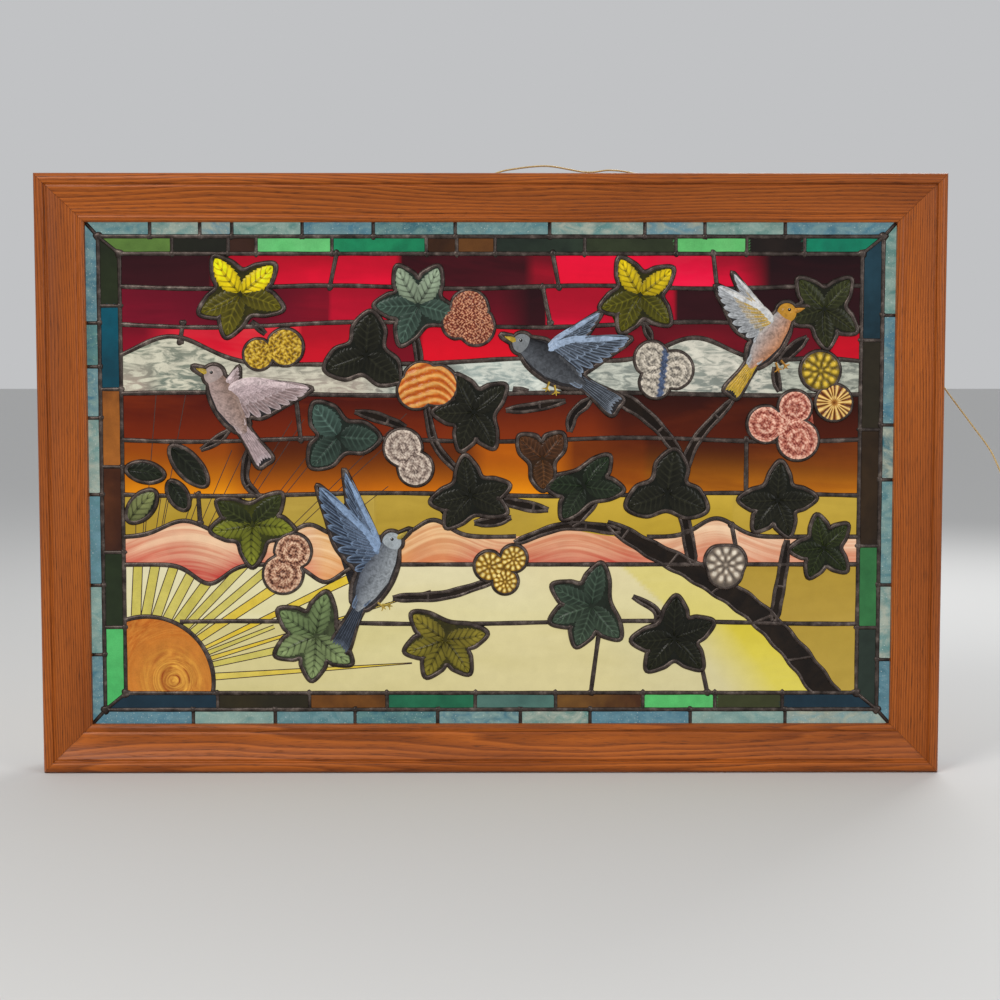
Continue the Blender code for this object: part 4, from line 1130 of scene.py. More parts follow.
def border_side(shape, side, inner, outer, leads, tiles):
    """One side of a border. leads are the places of the leads across it, and tiles the (tint, streak) of
    each tile, from left to right or from the top down."""
    upright = side in ("left", "right")
    sign = 1 if side in ("top", "right") else -1
    near, far = (inner[0], outer[0]) if upright else (inner[1], outer[1])
    run_near, run_far = (inner[1], outer[1]) if upright else (inner[0], outer[0])
    out = np.linspace(near, far, 7)[:, None]
    run = np.linspace(run_near, run_far, 7)[:, None]
    along = np.linspace(-1, 1, 321)[None] * run
    order = -along if upright else along
    bounds = -np.array(leads, float) if upright else np.array(leads, float)
    number = np.searchsorted(np.sort(bounds), order)
    tints = np.array([shade(*t[0]) for t in tiles])
    streaks = np.array([shade(*t[1]) for t in tiles])
    across = np.broadcast_to(sign * out, along.shape)
    x, z = (across, along) if upright else (along, across)
    front = np.stack([x, np.full(x.shape, -GLASS_FRONT), z], axis=-1) * MM
    grain = np.stack([along * MM, across * MM, number * 2.3 + len(side)], axis=-1)
    slab_faces(shape, front, tint=tints[number], streak=streaks[number], grain=grain)


def teal_tiles(count, start, pale=()):
    """Teal tiles in turn, with whitish ones at some places."""
    made = []
    for i in range(count):
        tint = (176, 182, 164) if i in pale else TEAL[(i + start) % 6]
        made.append((tint, TEAL_STREAK[(i * 5 + start) % 6]))
    return made


outer_tiles = Shape()
outer_ring = ((OUTER_X, OUTER_Z), (EDGE_X, EDGE_Z))
OUTER_TILES = {
    "top": teal_tiles(11, 0, (2, 8)),
    "bottom": teal_tiles(9, 4, (8,)),
    "left": teal_tiles(7, 2),
    "right": teal_tiles(6, 3, (2,)),
}
for side, tiles in OUTER_TILES.items():
    border_side(outer_tiles, side, *outer_ring, OUTER_LEADS[side], tiles)
outer_tiles.piece("opal_border_tiles", tile_glass, sharp=50)

inner_tiles = Shape()
inner_ring = ((PICTURE_X, PICTURE_Z), (OUTER_X, OUTER_Z))
INNER_TILES = {
    "top": (
        ((100, 134, 62), (76, 104, 48)),
        (BLACK_OLIVE, (30, 30, 26)),
        (DARK_BROWN, (66, 40, 34)),
        ((112, 204, 124), (84, 182, 100)),
        ((30, 140, 92), (14, 96, 70)),
        (DARK_BROWN, (84, 50, 22)),
        (BROWN, (74, 42, 22)),
        ((44, 56, 44), (28, 36, 32)),
        ((50, 58, 38), (38, 44, 30)),
        ((116, 204, 122), (84, 180, 98)),
        ((24, 20, 18), (40, 30, 26)),
        ((14, 136, 100), (20, 104, 84)),
    ),
    "left": (
        ((40, 48, 28), (28, 32, 22)),
        ((8, 82, 100), (20, 60, 74)),
        ((168, 100, 40), (88, 48, 26)),
        ((54, 28, 20), (92, 50, 26)),
        ((38, 50, 28), (28, 36, 22)),
        ((92, 196, 112), (66, 172, 92)),
    ),
    "bottom": (
        (DEEP_BLUE, (22, 42, 56)),
        ((40, 36, 24), (54, 46, 26)),
        ((112, 68, 26), (62, 36, 20)),
        ((38, 112, 78), (26, 88, 64)),
        ((82, 118, 108), (64, 100, 94)),
        ((72, 42, 24), (128, 88, 38)),
        ((96, 196, 112), (70, 176, 92)),
        (DARK_OLIVE, (44, 50, 30)),
        (DEEP_BLUE, (22, 44, 56)),
    ),
    "right": (
        ((34, 66, 80), (20, 38, 46)),
        ((50, 44, 32), (36, 32, 24)),
        ((40, 30, 22), (60, 44, 28)),
        ((58, 124, 70), (44, 100, 58)),
        ((44, 56, 48), (34, 44, 38)),
    ),
}
for side, tiles in INNER_TILES.items():
    border_side(inner_tiles, side, *inner_ring, INNER_LEADS[side], tiles)
inner_tiles.piece("clear_border_tiles", clear_tile_glass, sharp=50)

# %% [markdown]
# ## Sun and rays
#
# The rising sun is one streaky orange sheet behind a round lead. Its rays are painted: thin brown enamel
# lines in pairs, with a yellow stain between them that is fired into the pale glass. They are thin films on
# the glass face.

# %% Sun
SUN_X, SUN_Z = -448.0, -270.0
SUN_RADIUS = 86.0
SWIRL_X, SWIRL_Z = -414.0, -268.0
sun_glass = glass_finish("sun_glass", (58.0, 30.0, 0.0), (0.34, 0.68), 0.95, 4.6, 0.9, follows=True)
# Columns from the picture's foot up to the arc: its height there is the root of radius squared less x squared
sun_x = np.linspace(-PICTURE_X, SUN_X + SUN_RADIUS - 0.1, 71)[:, None]
sun_top = SUN_Z + np.sqrt(SUN_RADIUS**2 - (sun_x - SUN_X) ** 2)
sun_z = -PICTURE_Z + (sun_top + PICTURE_Z) * np.linspace(0, 1, 49)
sun_x = np.broadcast_to(sun_x, sun_z.shape)
swirl = np.hypot(sun_x - SWIRL_X, sun_z - SWIRL_Z)
sun_high = np.clip(swirl / 78, 0, 1)[..., None]
sun_tint = blend(np.array(shade(134, 46, 8)), np.array(shade(206, 130, 50)), sun_high**0.8)
sun_streak = blend(np.array(shade(248, 188, 78)), np.array(shade(180, 94, 26)), sun_high**0.8)
sun_front = np.stack([sun_x, np.full(sun_x.shape, -GLASS_FRONT - 0.35), sun_z], axis=-1) * MM
sun_grain = np.stack([swirl * MM, (sun_x + 0.4 * sun_z) * 0.45 * MM, np.full(swirl.shape, 4.2)], axis=-1)
sun = Shape()
sun.lens(sun_front, -(GLASS_FRONT - 0.2) * MM, tint=sun_tint, streak=sun_streak, grain=sun_grain)
sun.piece("sun_glass_sheet", sun_glass, sharp=50, merge=1e-5)

# %% Painted rays
stain = glass_finish("yellow_stain", (8.0, 8.0, 8.0), (0.3, 0.8), 0.92, 0.3, 0.05)
enamel = Finish("trace_enamel", Roughness=0.5)
enamel_grain = enamel.noise(enamel.place(), 260.0)
enamel.feed("Base Color", enamel.ramp(enamel_grain, (0.3, shade(40, 20, 12)), (0.7, shade(66, 34, 20))))
enamel.bump(enamel.noise(enamel.place(), 700.0), 0.03 * MM, 0.3)
# Each ray: its direction in degrees, half its width at the sun and at its end, how far it reaches, its stain
PALE_STAIN = (196, 182, 74)
GOLD_STAIN = (224, 190, 40)
RAYS = (
    (87, 6.2, 5.6, 230, PALE_STAIN),
    (78.7, 6.2, 5.8, 230, PALE_STAIN),
    (70.2, 6.2, 6.0, 235, PALE_STAIN),
    (61.6, 6.1, 6.4, 240, PALE_STAIN),
    (53.3, 6.0, 6.6, 250, PALE_STAIN),
    (46.4, 4.9, 6.0, 265, PALE_STAIN),
    (40, 4.6, 5.4, 275, PALE_STAIN),
    (33.6, 4.4, 6.6, 246, GOLD_STAIN),
    (25.7, 2.0, 6.0, 340, GOLD_STAIN),
    (21.6, 3.0, 2.4, 198, PALE_STAIN),
    (17.2, 3.0, 0.4, 406, GOLD_STAIN),
    (12.6, 3.4, 4.8, 192, PALE_STAIN),
    (3.9, 4.8, 0.5, 364, GOLD_STAIN),
)
RAYS_FROM_X = -466.4
ENAMEL_HALF = 0.6
RAY_STEPS, RAY_POINTS = 500, 60
ray_films = Shape()
ray_lines = Shape()


def ray_edge(direction, near, far, reach, floor_line=None):
    """Points along a ray's edge. Its distance from the ray's middle runs evenly from near, at the sun, to
    far, at its reach. The edge stops at the pink clouds' lead, or starts above the line that is given."""
    away = np.linspace(SUN_RADIUS + 1, reach, RAY_STEPS)
    aside = near + (far - near) * (away - away[0]) / (reach - away[0])
    angle = np.radians(direction)
    x = RAYS_FROM_X + away * np.cos(angle) - aside * np.sin(angle)
    z = SUN_Z + away * np.sin(angle) + aside * np.cos(angle)
    if floor_line is None:
        inside = (z < SKY_LINES["pink_foot"](x)) & (x > -PICTURE_X)
    else:
        inside = z > floor_line(x)
    steps = np.flatnonzero(inside)
    first, last = (0, int(np.argmin(inside)) or RAY_STEPS) if floor_line is None else (int(steps[0]), RAY_STEPS)
    picked = np.linspace(first, last - 1, RAY_POINTS).astype(int)
    return np.stack([x, z], axis=1)[picked]


def film(shape, left, right, rise, **colours):
    """A thin flat film on the glass between two lines."""
    grid = np.array([left, (left + right) / 2, right])
    front = np.stack([grid[..., 0], np.full(grid.shape[:2], -GLASS_FRONT - rise), grid[..., 1]], axis=-1) * MM
    shape.lens(front, -GLASS_FRONT * MM, **colours)


for direction, near, far, reach, colour in RAYS:
    left, right = (ray_edge(direction, side * near, side * far, reach) for side in (1, -1))
    film(
        ray_films, left, right, 0.12, tint=shade(*colour), streak=shade(208, 196, 112), grain=(0, 0, direction)
    )
    for side in (1, -1):
        trims = (ENAMEL_HALF, -ENAMEL_HALF)
        edges = [ray_edge(direction, side * near + trim, side * far + trim, reach) for trim in trims]
        film(ray_lines, *edges, 0.2)
ray_films.piece("ray_stain", stain, merge=1e-7)

# Thin lines that carry the rays on over the olive and the brown sky
for direction, stop in (
    (88.3, 245), (85.5, 245), (84.7, 376), (80.8, 250), (79, 384), (78.4, 252), (71.6, 262), (69.9, 262),
    (66.5, 330),
    (63.8, 350), (58.4, 400), (56.7, 410), (52.2, 420), (50.8, 440), (44.4, 500), (43, 470), (37.5, 420),
):
    edges = [ray_edge(direction, trim, trim, stop, SKY_LINES["pink_top"]) for trim in (0.5, -0.5)]
    film(ray_lines, *edges, 0.15)
ray_lines.piece("ray_lines", enamel, merge=1e-7)

# %% [markdown]
# ## Branch of dark glass
#
# A trunk rises from the lower right and sends boughs up and to the left. Each is a ribbon of nearly black
# glass between two leads, and short leads cross it where two lengths of glass meet.

# %% Branches
TRUNK = ((436, -284, 30), (396, -232, 28), (340, -175, 27), (268, -128, 24), (205, -95, 20), (150, -62, 12))
BOUGHS = (
    ((368, -190, 11), (378, -130, 10), (384, -84, 7)),
    ((262, -116, 13), (254, -72, 11), (246, -20, 11), (262, 40, 10), (312, 98, 7)),
    ((246, 24, 10), (212, 66, 12), (172, 96, 16), (140, 100, 9)),
    ((168, -72, 10), (96, -66, 8), (30, -88, 6)),
    ((-128, -160, 7), (-60, -156, 9), (6, -136, 6)),
    ((-314, 32, 8), (-318, -6, 7), (-300, -28, 6)),
    ((-84, 92, 6), (-72, 40, 7), (-40, 2, 6)),
    ((-100, 188, 7), (-94, 160, 7), (-92, 136, 6)),
)
# Short stems between leaves, blossoms and birds
STEMS = (
    ((-176, 82, 4), (-150, 76, 10), (-110, 62, 7)),
    ((28, 112, 4), (48, 108, 6)),
    ((19, 84, 5), (55, 88, 9), (96, 96, 5)),
    ((101, 56, 8), (106, 78, 9), (128, 98, 11)),
    ((370, 144, 6), (386, 160, 13), (407, 178, 7)),
    ((366, 140, 7), (368, 122, 8), (372, 108, 6)),
    ((-375, 33, 4), (-356, 44, 8), (-338, 58, 5)),
    ((-308, 198, 5), (-290, 182, 6)),
    ((196, 196, 6), (203, 182, 8), (206, 174, 6)),
    ((138, -28, 7), (120, -46, 15), (104, -66, 9)),
    ((12, -32, 7), (42, -39, 11), (74, -45, 6)),
    ((-22, -62, 6), (2, -60, 11), (26, -55, 5)),
    ((200, -222, 5), (216, -198, 9), (214, -176, 6), (184, -158, 5)),
)
bark_glass = glass_finish("bark_glass", (30.0, 30.0, 30.0), (0.4, 0.75), 0.7, 1.0, 0.9, 0.0, 0.12)
lead_paths = []


def sides_of(line):
    """A wide line's two edges: half its width to each side, square to it."""
    ahead = np.gradient(line[:, :2], axis=0)
    ahead /= np.linalg.norm(ahead, axis=1, keepdims=True)
    aside = np.stack([-ahead[:, 1], ahead[:, 0]], axis=1) * line[:, 2:] / 2
    return line[:, :2] + aside, line[:, :2] - aside


def cut_at_foot(line, count):
    """A line's part above the picture's foot, with the number of points that is asked for."""
    above = line[np.argmax(line[:, 1] > -PICTURE_Z) :]
    place = np.linspace(0, len(above) - 1, count)
    return np.stack([np.interp(place, np.arange(len(above)), above[:, k]) for k in (0, 1)], axis=1)


branches = Shape()
TRUNK_FOOT = (448, -300, 31)
for n, bough in enumerate(((TRUNK_FOOT, *TRUNK), *BOUGHS, *STEMS)):
    line = smooth_path(bough, 5.0)
    line[:, 2] *= 1 + 0.07 * np.sin(np.arange(len(line)) * 0.9 + n)
    to_end = np.minimum(np.arange(len(line)), np.arange(len(line))[::-1])
    line[:, 2] *= np.clip(0.35 + 0.3 * to_end, 0, 1) if n else np.clip(
        0.35 + 0.2 * np.arange(len(line))[::-1], 0, 1
    )
    left, right = sides_of(line)
    if n == 0:
        left, right = cut_at_foot(left, len(line)), cut_at_foot(right, len(line))
    share = np.linspace(0, 1, 5)[:, None, None]
    ribbon = left + (right - left) * share
    front = np.stack(
        [ribbon[..., 0], np.full(ribbon.shape[:2], -GLASS_FRONT - 0.6), ribbon[..., 1]], axis=-1
    ) * MM
    bark = dict(tint=shade(24, 17, 13), streak=shade(44, 32, 22), grain=(0, 0, n * 3.1))
    branches.lens(front, -(GLASS_FRONT - 0.3) * MM, **bark)
    lead_paths.append((left, 5.4))
    lead_paths.append((right, 5.4))
    stops = range(12, len(line) - 4, 15) if n == 0 else range(9, len(line) - 4, 16)
    for i in stops:
        lead_paths.append((evenly(np.array([left[i], right[i]]), 3.0), 4.6))
branches.piece("branch_glass", bark_glass, merge=1e-7)

# %% [markdown]
# ## Lead came
#
# Came is an H-shaped strip of lead. From the front it shows as a rounded cord-like line, dull grey where it
# has oxidised and paler in patches of painted sheen, with a flat puddle of solder at each joint. Every
# line here is a half ellipse carried along the same formulas as the glass edges, with the small wobble of
# hand-bent lead.

# %% Came
lead = Finish("lead_came", Metallic=0.75)
lead_here = lead.place()
tarnish_and_sheen = lead.noise(lead_here, 90.0, 4.0, 0.6)
scratch = lead.noise(lead_here, 900.0, 2.0)
# The darker stops are the lead's own dull grey. The palest stop is painted sheen, in patches that a noise
# places.
lead_colour = lead.ramp(
    tarnish_and_sheen, (0.32, shade(46, 39, 36)), (0.55, shade(78, 68, 63)), (0.78, shade(126, 114, 106))
)
lead.feed("Base Color", lead_colour)
lead.feed("Roughness", scratch * 0.2 + tarnish_and_sheen * 0.25 + 0.2)
lead.bump(tarnish_and_sheen * 0.6 + scratch * 0.12, 0.5 * MM, 0.55)
CAME_WIDTH = 6.4
CAME_RISE = 2.5
# Came and solder start a little inside the glass, so that no gap shows under them
CAME_SEAT = GLASS_FRONT - 0.4
half_turn = np.radians(np.linspace(0, 180, 7))


def came(shape, path, width=CAME_WIDTH, rise=CAME_RISE, closed=False, seed=0.0, base=CAME_SEAT):
    """Carries a half ellipse along a flat path of (x, z) in millimetres. Width and rise vary by a few
    hundredths, as a sum of two slow sine waves of the distance run."""
    path = np.asarray(path, float)
    spot = np.stack([path[:, 0], np.full(len(path), -base), path[:, 1]], axis=1)
    run = np.arange(len(path)) * np.linalg.norm(path[1] - path[0])
    ripple = 1 + 0.045 * np.sin(run / 9.0 + seed * 2.1) + 0.035 * np.sin(run / 23.0 + seed)
    section = np.stack(
        [-rise * ripple[:, None] * np.sin(half_turn), width / 2 * (2 - ripple)[:, None] * np.cos(half_turn)],
        axis=-1
    )
    shape.surface(
        carried(section, spot, (0, 1, 0), closed) * MM, wrap_rows=closed, wrap_columns=True, caps=not closed
    )


def solder(shape, x, z, radius=5.2, rise=2.9):
    """A flat puddle of solder: a low dome whose height falls as one minus the fourth power of the distance
    out."""
    rings, spokes_round = 5, 12
    out = np.linspace(0.0, 1.0, rings)[:, None]
    angle = np.radians(np.arange(0, 360, 360 / spokes_round))[None]
    reach = radius * out * (1 + 0.12 * np.sin(3 * angle + x) + 0.06 * np.cos(5 * angle + z))
    y = np.broadcast_to(-(CAME_SEAT + rise * (1 - out**4)), reach.shape)
    dome = np.stack([x + reach * np.cos(angle), y, z + reach * np.sin(angle)], axis=-1)
    first = shape.count
    shape.surface(dome * MM, wrap_columns=True)
    shape.faces.append(list(range(first + (rings - 1) * spokes_round, first + rings * spokes_round)))


sky_came = Shape()
run_x = np.linspace(-PICTURE_X, PICTURE_X, 400)
# Where a line has no lead of its own, because the sun's or a branch's takes its place
OWN_LEAD = {"pale": (-405, 477), "pink_top": (-477, 34)}
LOW_LEADS = ("pale", "pink_foot", "pink_top", "amber_foot", "brown_foot")
LEADED = (*LOW_LEADS, "cloud_foot", "red_foot", "maroon_foot", "cloud_top")
for n, name in enumerate(LEADED):
    first_x, last_x = OWN_LEAD.get(name, (-PICTURE_X, PICTURE_X))
    own_x = run_x[(run_x >= first_x) & (run_x <= last_x)]
    line = evenly(np.stack([own_x, SKY_LINES[name](own_x)], axis=1), 4.0)
    came(sky_came, line, seed=n * 1.9)
right_x = run_x[run_x > 200]
came(sky_came, evenly(np.stack([right_x, SKY_LINES["pink_top"](right_x)], axis=1), 4.0), seed=2.5)
UPRIGHTS = (
    ((-207, 242), (-198, 285)),
    ((87, 242), (79, 285)),
    ((290, 242), (285, 285)),
    ((76, 196), (66, 242)),
    ((-400, 172), (-396, 196)),
    ((-246, 46), (-252, 105)),
    ((330, -25), (330, 46)),
    ((-377, -62), (-379, -25)),
    ((-140, -116), (-150, -80)),
    ((322, -116), (312, -65)),
    ((130, -284), (142, -192)),
    ((282, -284), (262, -192)),
)
for n, (foot, head) in enumerate(UPRIGHTS):
    came(sky_came, evenly(np.array([foot, head], float), 4.0), seed=n * 0.7)
    for x, z in (foot, head):
        solder(sky_came, x, z)
arc_turn = np.radians(np.linspace(-9, 109, 46))
sun_arc = np.stack([SUN_X + SUN_RADIUS * np.cos(arc_turn), SUN_Z + SUN_RADIUS * np.sin(arc_turn)], axis=1)
came(sky_came, sun_arc, seed=3.0)
for n, (line, width) in enumerate(lead_paths):
    came(sky_came, line, width, seed=n * 1.3)
sky_came.piece("sky_came", lead, sharp=60, merge=1e-7)

border_came = Shape()


def ring(half_x, half_z, spacing=4.0):
    """A rectangle's outline, evenly stepped."""
    corners = np.array(
        [(-half_x, -half_z), (half_x, -half_z), (half_x, half_z), (-half_x, half_z), (-half_x, -half_z)]
    )
    sides = [evenly(corners[i : i + 2].astype(float), spacing) for i in range(4)]
    return sides


def across_border(side, places, inner, outer):
    """Short leads square across a border, with solder where each one meets its rings."""
    sign = 1 if side in ("top", "right") else -1
    for place in places:
        if side in ("top", "bottom"):
            ends = np.array([(place, sign * inner[1]), (place, sign * outer[1])], float)
        else:
            ends = np.array([(sign * inner[0], place), (sign * outer[0], place)], float)
        came(border_came, evenly(ends, 3.0), 5.0, 2.2, seed=place * 0.1)
        solder(border_came, *ends[0], 4.6, 2.8)


for half_x, half_z in ((PICTURE_X, PICTURE_Z), (OUTER_X, OUTER_Z)):
    for n, side_line in enumerate(ring(half_x, half_z)):
        came(border_came, side_line, 5.8, seed=n * 2.2 + half_x)
picture, outer, edge = (PICTURE_X, PICTURE_Z), (OUTER_X, OUTER_Z), (EDGE_X, EDGE_Z)
for leads, inner, rim in ((OUTER_LEADS, outer, edge), (INNER_LEADS, picture, outer)):
    for side, places in leads.items():
        across_border(side, places, inner, rim)
for sign_x in (-1, 1):
    for sign_z in (-1, 1):
        corners = np.array([picture, outer, edge], float) * (sign_x, sign_z)
        came(border_came, evenly(corners, 3.0), 5.2)
        for corner_x, corner_z in corners[:2]:
            solder(border_came, corner_x, corner_z, 6.5, 3.2)
border_came.piece("border_came", lead, sharp=60, merge=1e-7)

# %% [markdown]
# ## Cast glass: rims and plates
#
# Leaves, blossoms and birds are cast glass, thicker than the sheets, each held in a heavier rounded lead.
# Their outlines are the solids' own: the back of each solid is flat, and the edges there that belong to one
# triangle only make its outline. A smooth curve through that outline carries the lead, and fills with a
# plate of glass.

# %% Rims and plates
CAST_FACE = 62.2
CAST_SEAT = CAST_FACE - 0.4
cast_rims = Shape()


def rim_of(node):
    """A solid's outline, (x, z) in millimetres: the edges of its flat back that one triangle uses, head to
    tail."""
    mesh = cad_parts[node].data
    mesh.calc_loop_triangles()
    places = np.zeros(len(mesh.vertices) * 3, np.float32)
    mesh.vertices.foreach_get("co", places)
    places = places.reshape(-1, 3).astype(float)
    corners = np.zeros(len(mesh.loop_triangles) * 3, np.int32)
    mesh.loop_triangles.foreach_get("vertices", corners)
    corners = corners.reshape(-1, 3)
    flat = (places[corners][:, :, 1] > places[:, 1].max() - 1e-5).all(axis=1)
    spots, number = np.unique(np.round(places[:, [0, 2]] * 1e6), axis=0, return_inverse=True)
    corners = number.reshape(-1)[corners[flat]]
    edges = {
        tuple(e) for e in np.concatenate([corners[:, [0, 1]], corners[:, [1, 2]], corners[:, [2, 0]]]).tolist()
    }
    following = {a: b for a, b in edges if (b, a) not in edges}
    loops = []
    while following:
        loop = [next(iter(following))]
        while loop[-1] in following:
            loop.append(following.pop(loop[-1]))
        loops.append(spots[loop[:-1]] / 1000)
    return max(loops, key=lambda points: np.ptp(points[:, 0]))


def plate(shape, outline, front=CAST_FACE, **colours):
    """A flat plate of glass with that outline."""
    count = len(outline)
    faces = []
    levels = (front, GLASS_FRONT + 0.7)
    rings = [np.stack([outline[:, 0], np.full(count, -y), outline[:, 1]], axis=1) * MM for y in levels]
    first = shape.count
    shape.add(np.stack(rings), grid_faces(2, count, wrap_columns=True), **colours)
    shape.faces.append(list(range(first, first + count)))
    shape.faces.append(list(range(first + count, first + 2 * count)))


def set_in_lead(shape, node, width=7.0, **colours):
    """A plate for a cast piece and the rounded lead round it. Gives the outline."""
    outline = smooth_path(rim_of(node), 2.6, closed=True)
    plate(shape, outline, **colours)
    came(cast_rims, outline, width, 4.4, closed=True, seed=outline[0, 0] * 0.1)
    return outline


def relief(shape, x, z, height, **colours):
    """A crowned surface on a plate: each point stands its height in front of the plate's face."""
    points = np.stack(np.broadcast_arrays(x, -(CAST_FACE + height), z), axis=-1) * MM
    shape.lens(points, -CAST_SEAT * MM, **colours)


def towards(start, direction, distance, aside=0.0):
    """The point at a distance along a direction in degrees, and moved aside to its left."""
    turned = math.radians(direction)
    x = start[0] + distance * math.cos(turned) - aside * math.sin(turned)
    z = start[1] + distance * math.sin(turned) + aside * math.cos(turned)
    return np.stack(np.broadcast_arrays(x, z), axis=-1)


# %% [markdown]
# ## Leaves
#
# A leaf has leaflets of pressed glass that spread from one point over a plate of dark glass. A leaflet is a
# surface of two parameters: s runs from its root to its tip and t across it. Its width follows a sine that
# leans to the root, with teeth cut into it, and its height adds a crown, a midrib and slanting side veins.

# %% Leaves
leaf_glass = glass_finish("leaf_glass", (60.0, 60.0, 60.0), (0.35, 0.75), 0.85, 1.0, 0.35, 0.0, 0.24)


def leaflet(shape, root, tip, half_width, tint, seed, teeth=9, bend=0.0, rise=2.6):
    """A toothed, veined leaflet from root to tip. Bright glass is darkened by painted shade along its veins,
    beside its midrib, toward its edges and near its root, between paler puffed parts. Dark glass shows its
    veins, midrib and edges lighter. All of it darkens toward the root."""
    s = np.linspace(0, 1, 58)[:, None]
    t = np.linspace(-1, 1, 25)[None]
    root, tip = np.array(root, float), np.array(tip, float)
    length = float(np.linalg.norm(tip - root))
    unit = (tip - root) / length
    tooth = (s * teeth) % 1
    width = half_width * np.sin(math.pi * s**0.78) ** 0.62 * (
        1.06 - 0.16 * tooth * np.clip(np.abs(t) * 1.4, 0, 1)
    )
    aside = t * width + bend * length * np.sin(math.pi * s)
    x = root[0] + unit[0] * s * length - unit[1] * aside
    z = root[1] + unit[1] * s * length + unit[0] * aside
    slant = (s * teeth * 0.72 - np.abs(t) * 1.25 + 0.15) % 1
    vein = ridge(np.minimum(slant, 1 - slant), 0.11) * (1 - np.abs(t) ** 3) * np.clip(6 * s, 0, 1)
    midrib = ridge(t, 0.075) * (1 - 0.6 * s)
    crown = (1 - t**2) ** 0.6 * np.sin(math.pi * np.clip(s, 0.02, 0.98)) ** 0.5
    puff = np.sin(math.pi * slant) * (1 - np.abs(t) ** 2)
    groove = ridge(np.abs(t) - 0.16, 0.08)
    height = 0.15 + rise * 0.62 * crown + 0.45 * puff * crown + 0.55 * vein + 0.75 * midrib - 0.7 * groove
    # Bright glass: painted shade along the veins, beside the midrib, toward the edges and near the root. Dark
    # glass: lighter veins, midrib and edges.
    if max(tint) > 0.16:
        shadow = ridge(
            np.minimum(slant, 1 - slant), 0.09
        ) * (1 - 0.5 * np.abs(t)) + 0.8 * ridge(np.abs(t) - 0.05, 0.06)
        light = 1.25 + 0.3 * puff - 1.0 * shadow - 0.6 * (1 - s) ** 2 * (1 - np.abs(t)) - 0.45 * np.abs(t) ** 4
    else:
        light = 0.45 + 0.45 * np.abs(t) ** 2 + 0.35 * puff * np.abs(t) + 1.1 * vein + 1.3 * midrib
    light = np.clip(light * (0.66 + 0.5 * s), 0.06, 2.2)
    colour = np.clip(np.array(tint) * light[..., None], 0, 1)
    relief(shape, x, z, np.maximum(height, 0.1), tint=colour, streak=colour * 0.7, grain=(0, 0, seed))


# Name, heart (x, z), reach, lobe directions, colour of the lobes that point up and of those that point down
DARK_LEAF = (36, 36, 24)
LEAVES = (
    ("leaf_sunlit_left", -322, 233, 59, (125, 40, -19, -109, -155), (250, 220, 14), (104, 96, 22)),
    ("leaf_mint", -94, 219, 57, (118, 61, -18, -114, -179), (138, 154, 128), (72, 94, 82)),
    ("leaf_sunlit_right", 191, 232, 55, (119, 39, -44, -117, -161), (206, 178, 14), (94, 90, 18)),
    ("leaf_top_corner", 428, 214, 52, (131, 49, -35, -85, -166), (60, 64, 32), (50, 52, 28)),
    ("leaf_dark_bud", -161, 155, 57, (83, -38, -161), DARK_LEAF, DARK_LEAF),
    ("leaf_sea_green", -197, 50, 54, (126, -2, -133), (74, 98, 88), (58, 76, 66)),
    ("leaf_dark_centre", -22, 82, 54, (115, 40, -61, -110, -179), DARK_LEAF, DARK_LEAF),
    ("leaf_dark_under", -27, -26, 53, (98, 14, -26, -127, -170), DARK_LEAF, DARK_LEAF),
    ("leaf_brown", 66, 22, 42, (136, 50, -88), (86, 52, 28), (92, 58, 30)),
    ("leaf_bottle_green", 120, -14, 52, (50, -6, -123, 178), (38, 50, 32), (42, 52, 36)),
    ("leaf_dark_middle", 228, -22, 57, (80, -24, -160), DARK_LEAF, DARK_LEAF),
    ("leaf_dark_right", 371, -32, 51, (86, 3, -72, -127, 180), DARK_LEAF, DARK_LEAF),
    ("leaf_edge_right", 431, -94, 44, (102, 44, -45, -115, -176), (48, 56, 24), (40, 48, 22)),
    ("leaf_fern_green", -309, -64, 56, (146, 46, -7, -91, -172), (54, 60, 26), (112, 116, 34)),
    ("leaf_pale_green", -228, -209, 60, (76, -39, -96, -154, 145), (106, 124, 80), (120, 136, 90)),
    ("leaf_olive", -60, -214, 56, (142, 8, -55, -117, -163), (124, 112, 38), (116, 106, 34)),
    ("leaf_blue_green", 130, -170, 58, (77, -49, -110, -158, 152), (60, 76, 62), (66, 82, 66)),
    ("leaf_dark_low", 238, -212, 56, (87, 22, -48, -129, -176), (30, 31, 20), (34, 35, 22)),
)
for n, (name, x, z, reach, directions, upper, lower) in enumerate(LEAVES):
    leaf = Shape()
    ground = tuple(0.32 * v for v in shade(*lower))
    set_in_lead(leaf, name, tint=ground, streak=shade(24, 27, 20), grain=(0, 0, n))
    wide = 0.235 if len(directions) > 3 else 0.315
    for i, direction in enumerate(directions):
        colour = shade(*(upper if 0 < direction % 360 < 180 else lower))
        root = towards((x, z), direction, 0.05 * reach)
        tip = towards((x, z), direction, 0.93 * reach)
        leaflet(leaf, root, tip, wide * reach, colour, n * 3.3 + i, 8 + i % 3, 0.03 * (-1) ** i)
    leaf.piece("cast_" + name, leaf_glass, (name,), sharp=50, merge=1e-7)

for n, (name, x, z, half_length, half_width, direction, tint) in enumerate(
    (
        ("leaflet_dark_low", -447, 4, 25, 13, -10, (36, 42, 28)),
        ("leaflet_dark_high", -391, 12, 34, 15, -48, (34, 38, 26)),
        ("leaflet_dark_small", -405, -26, 21, 12, -60, (36, 42, 28)),
        ("leaflet_green", -452, -40, 26, 15, 48, (116, 122, 74)),
    )
):
    leaf = Shape()
    set_in_lead(leaf, name, tint=shade(22, 25, 18), streak=shade(30, 36, 24), grain=(0, 0, n))
    root = towards((x, z), direction, -0.9 * half_length)
    tip = towards((x, z), direction, 0.92 * half_length)
    leaflet(leaf, root, tip, half_width * 0.88, shade(*tint), n * 2.9, 7, 0.04)
    leaf.piece("cast_" + name, leaf_glass, (name,), sharp=50, merge=1e-7)
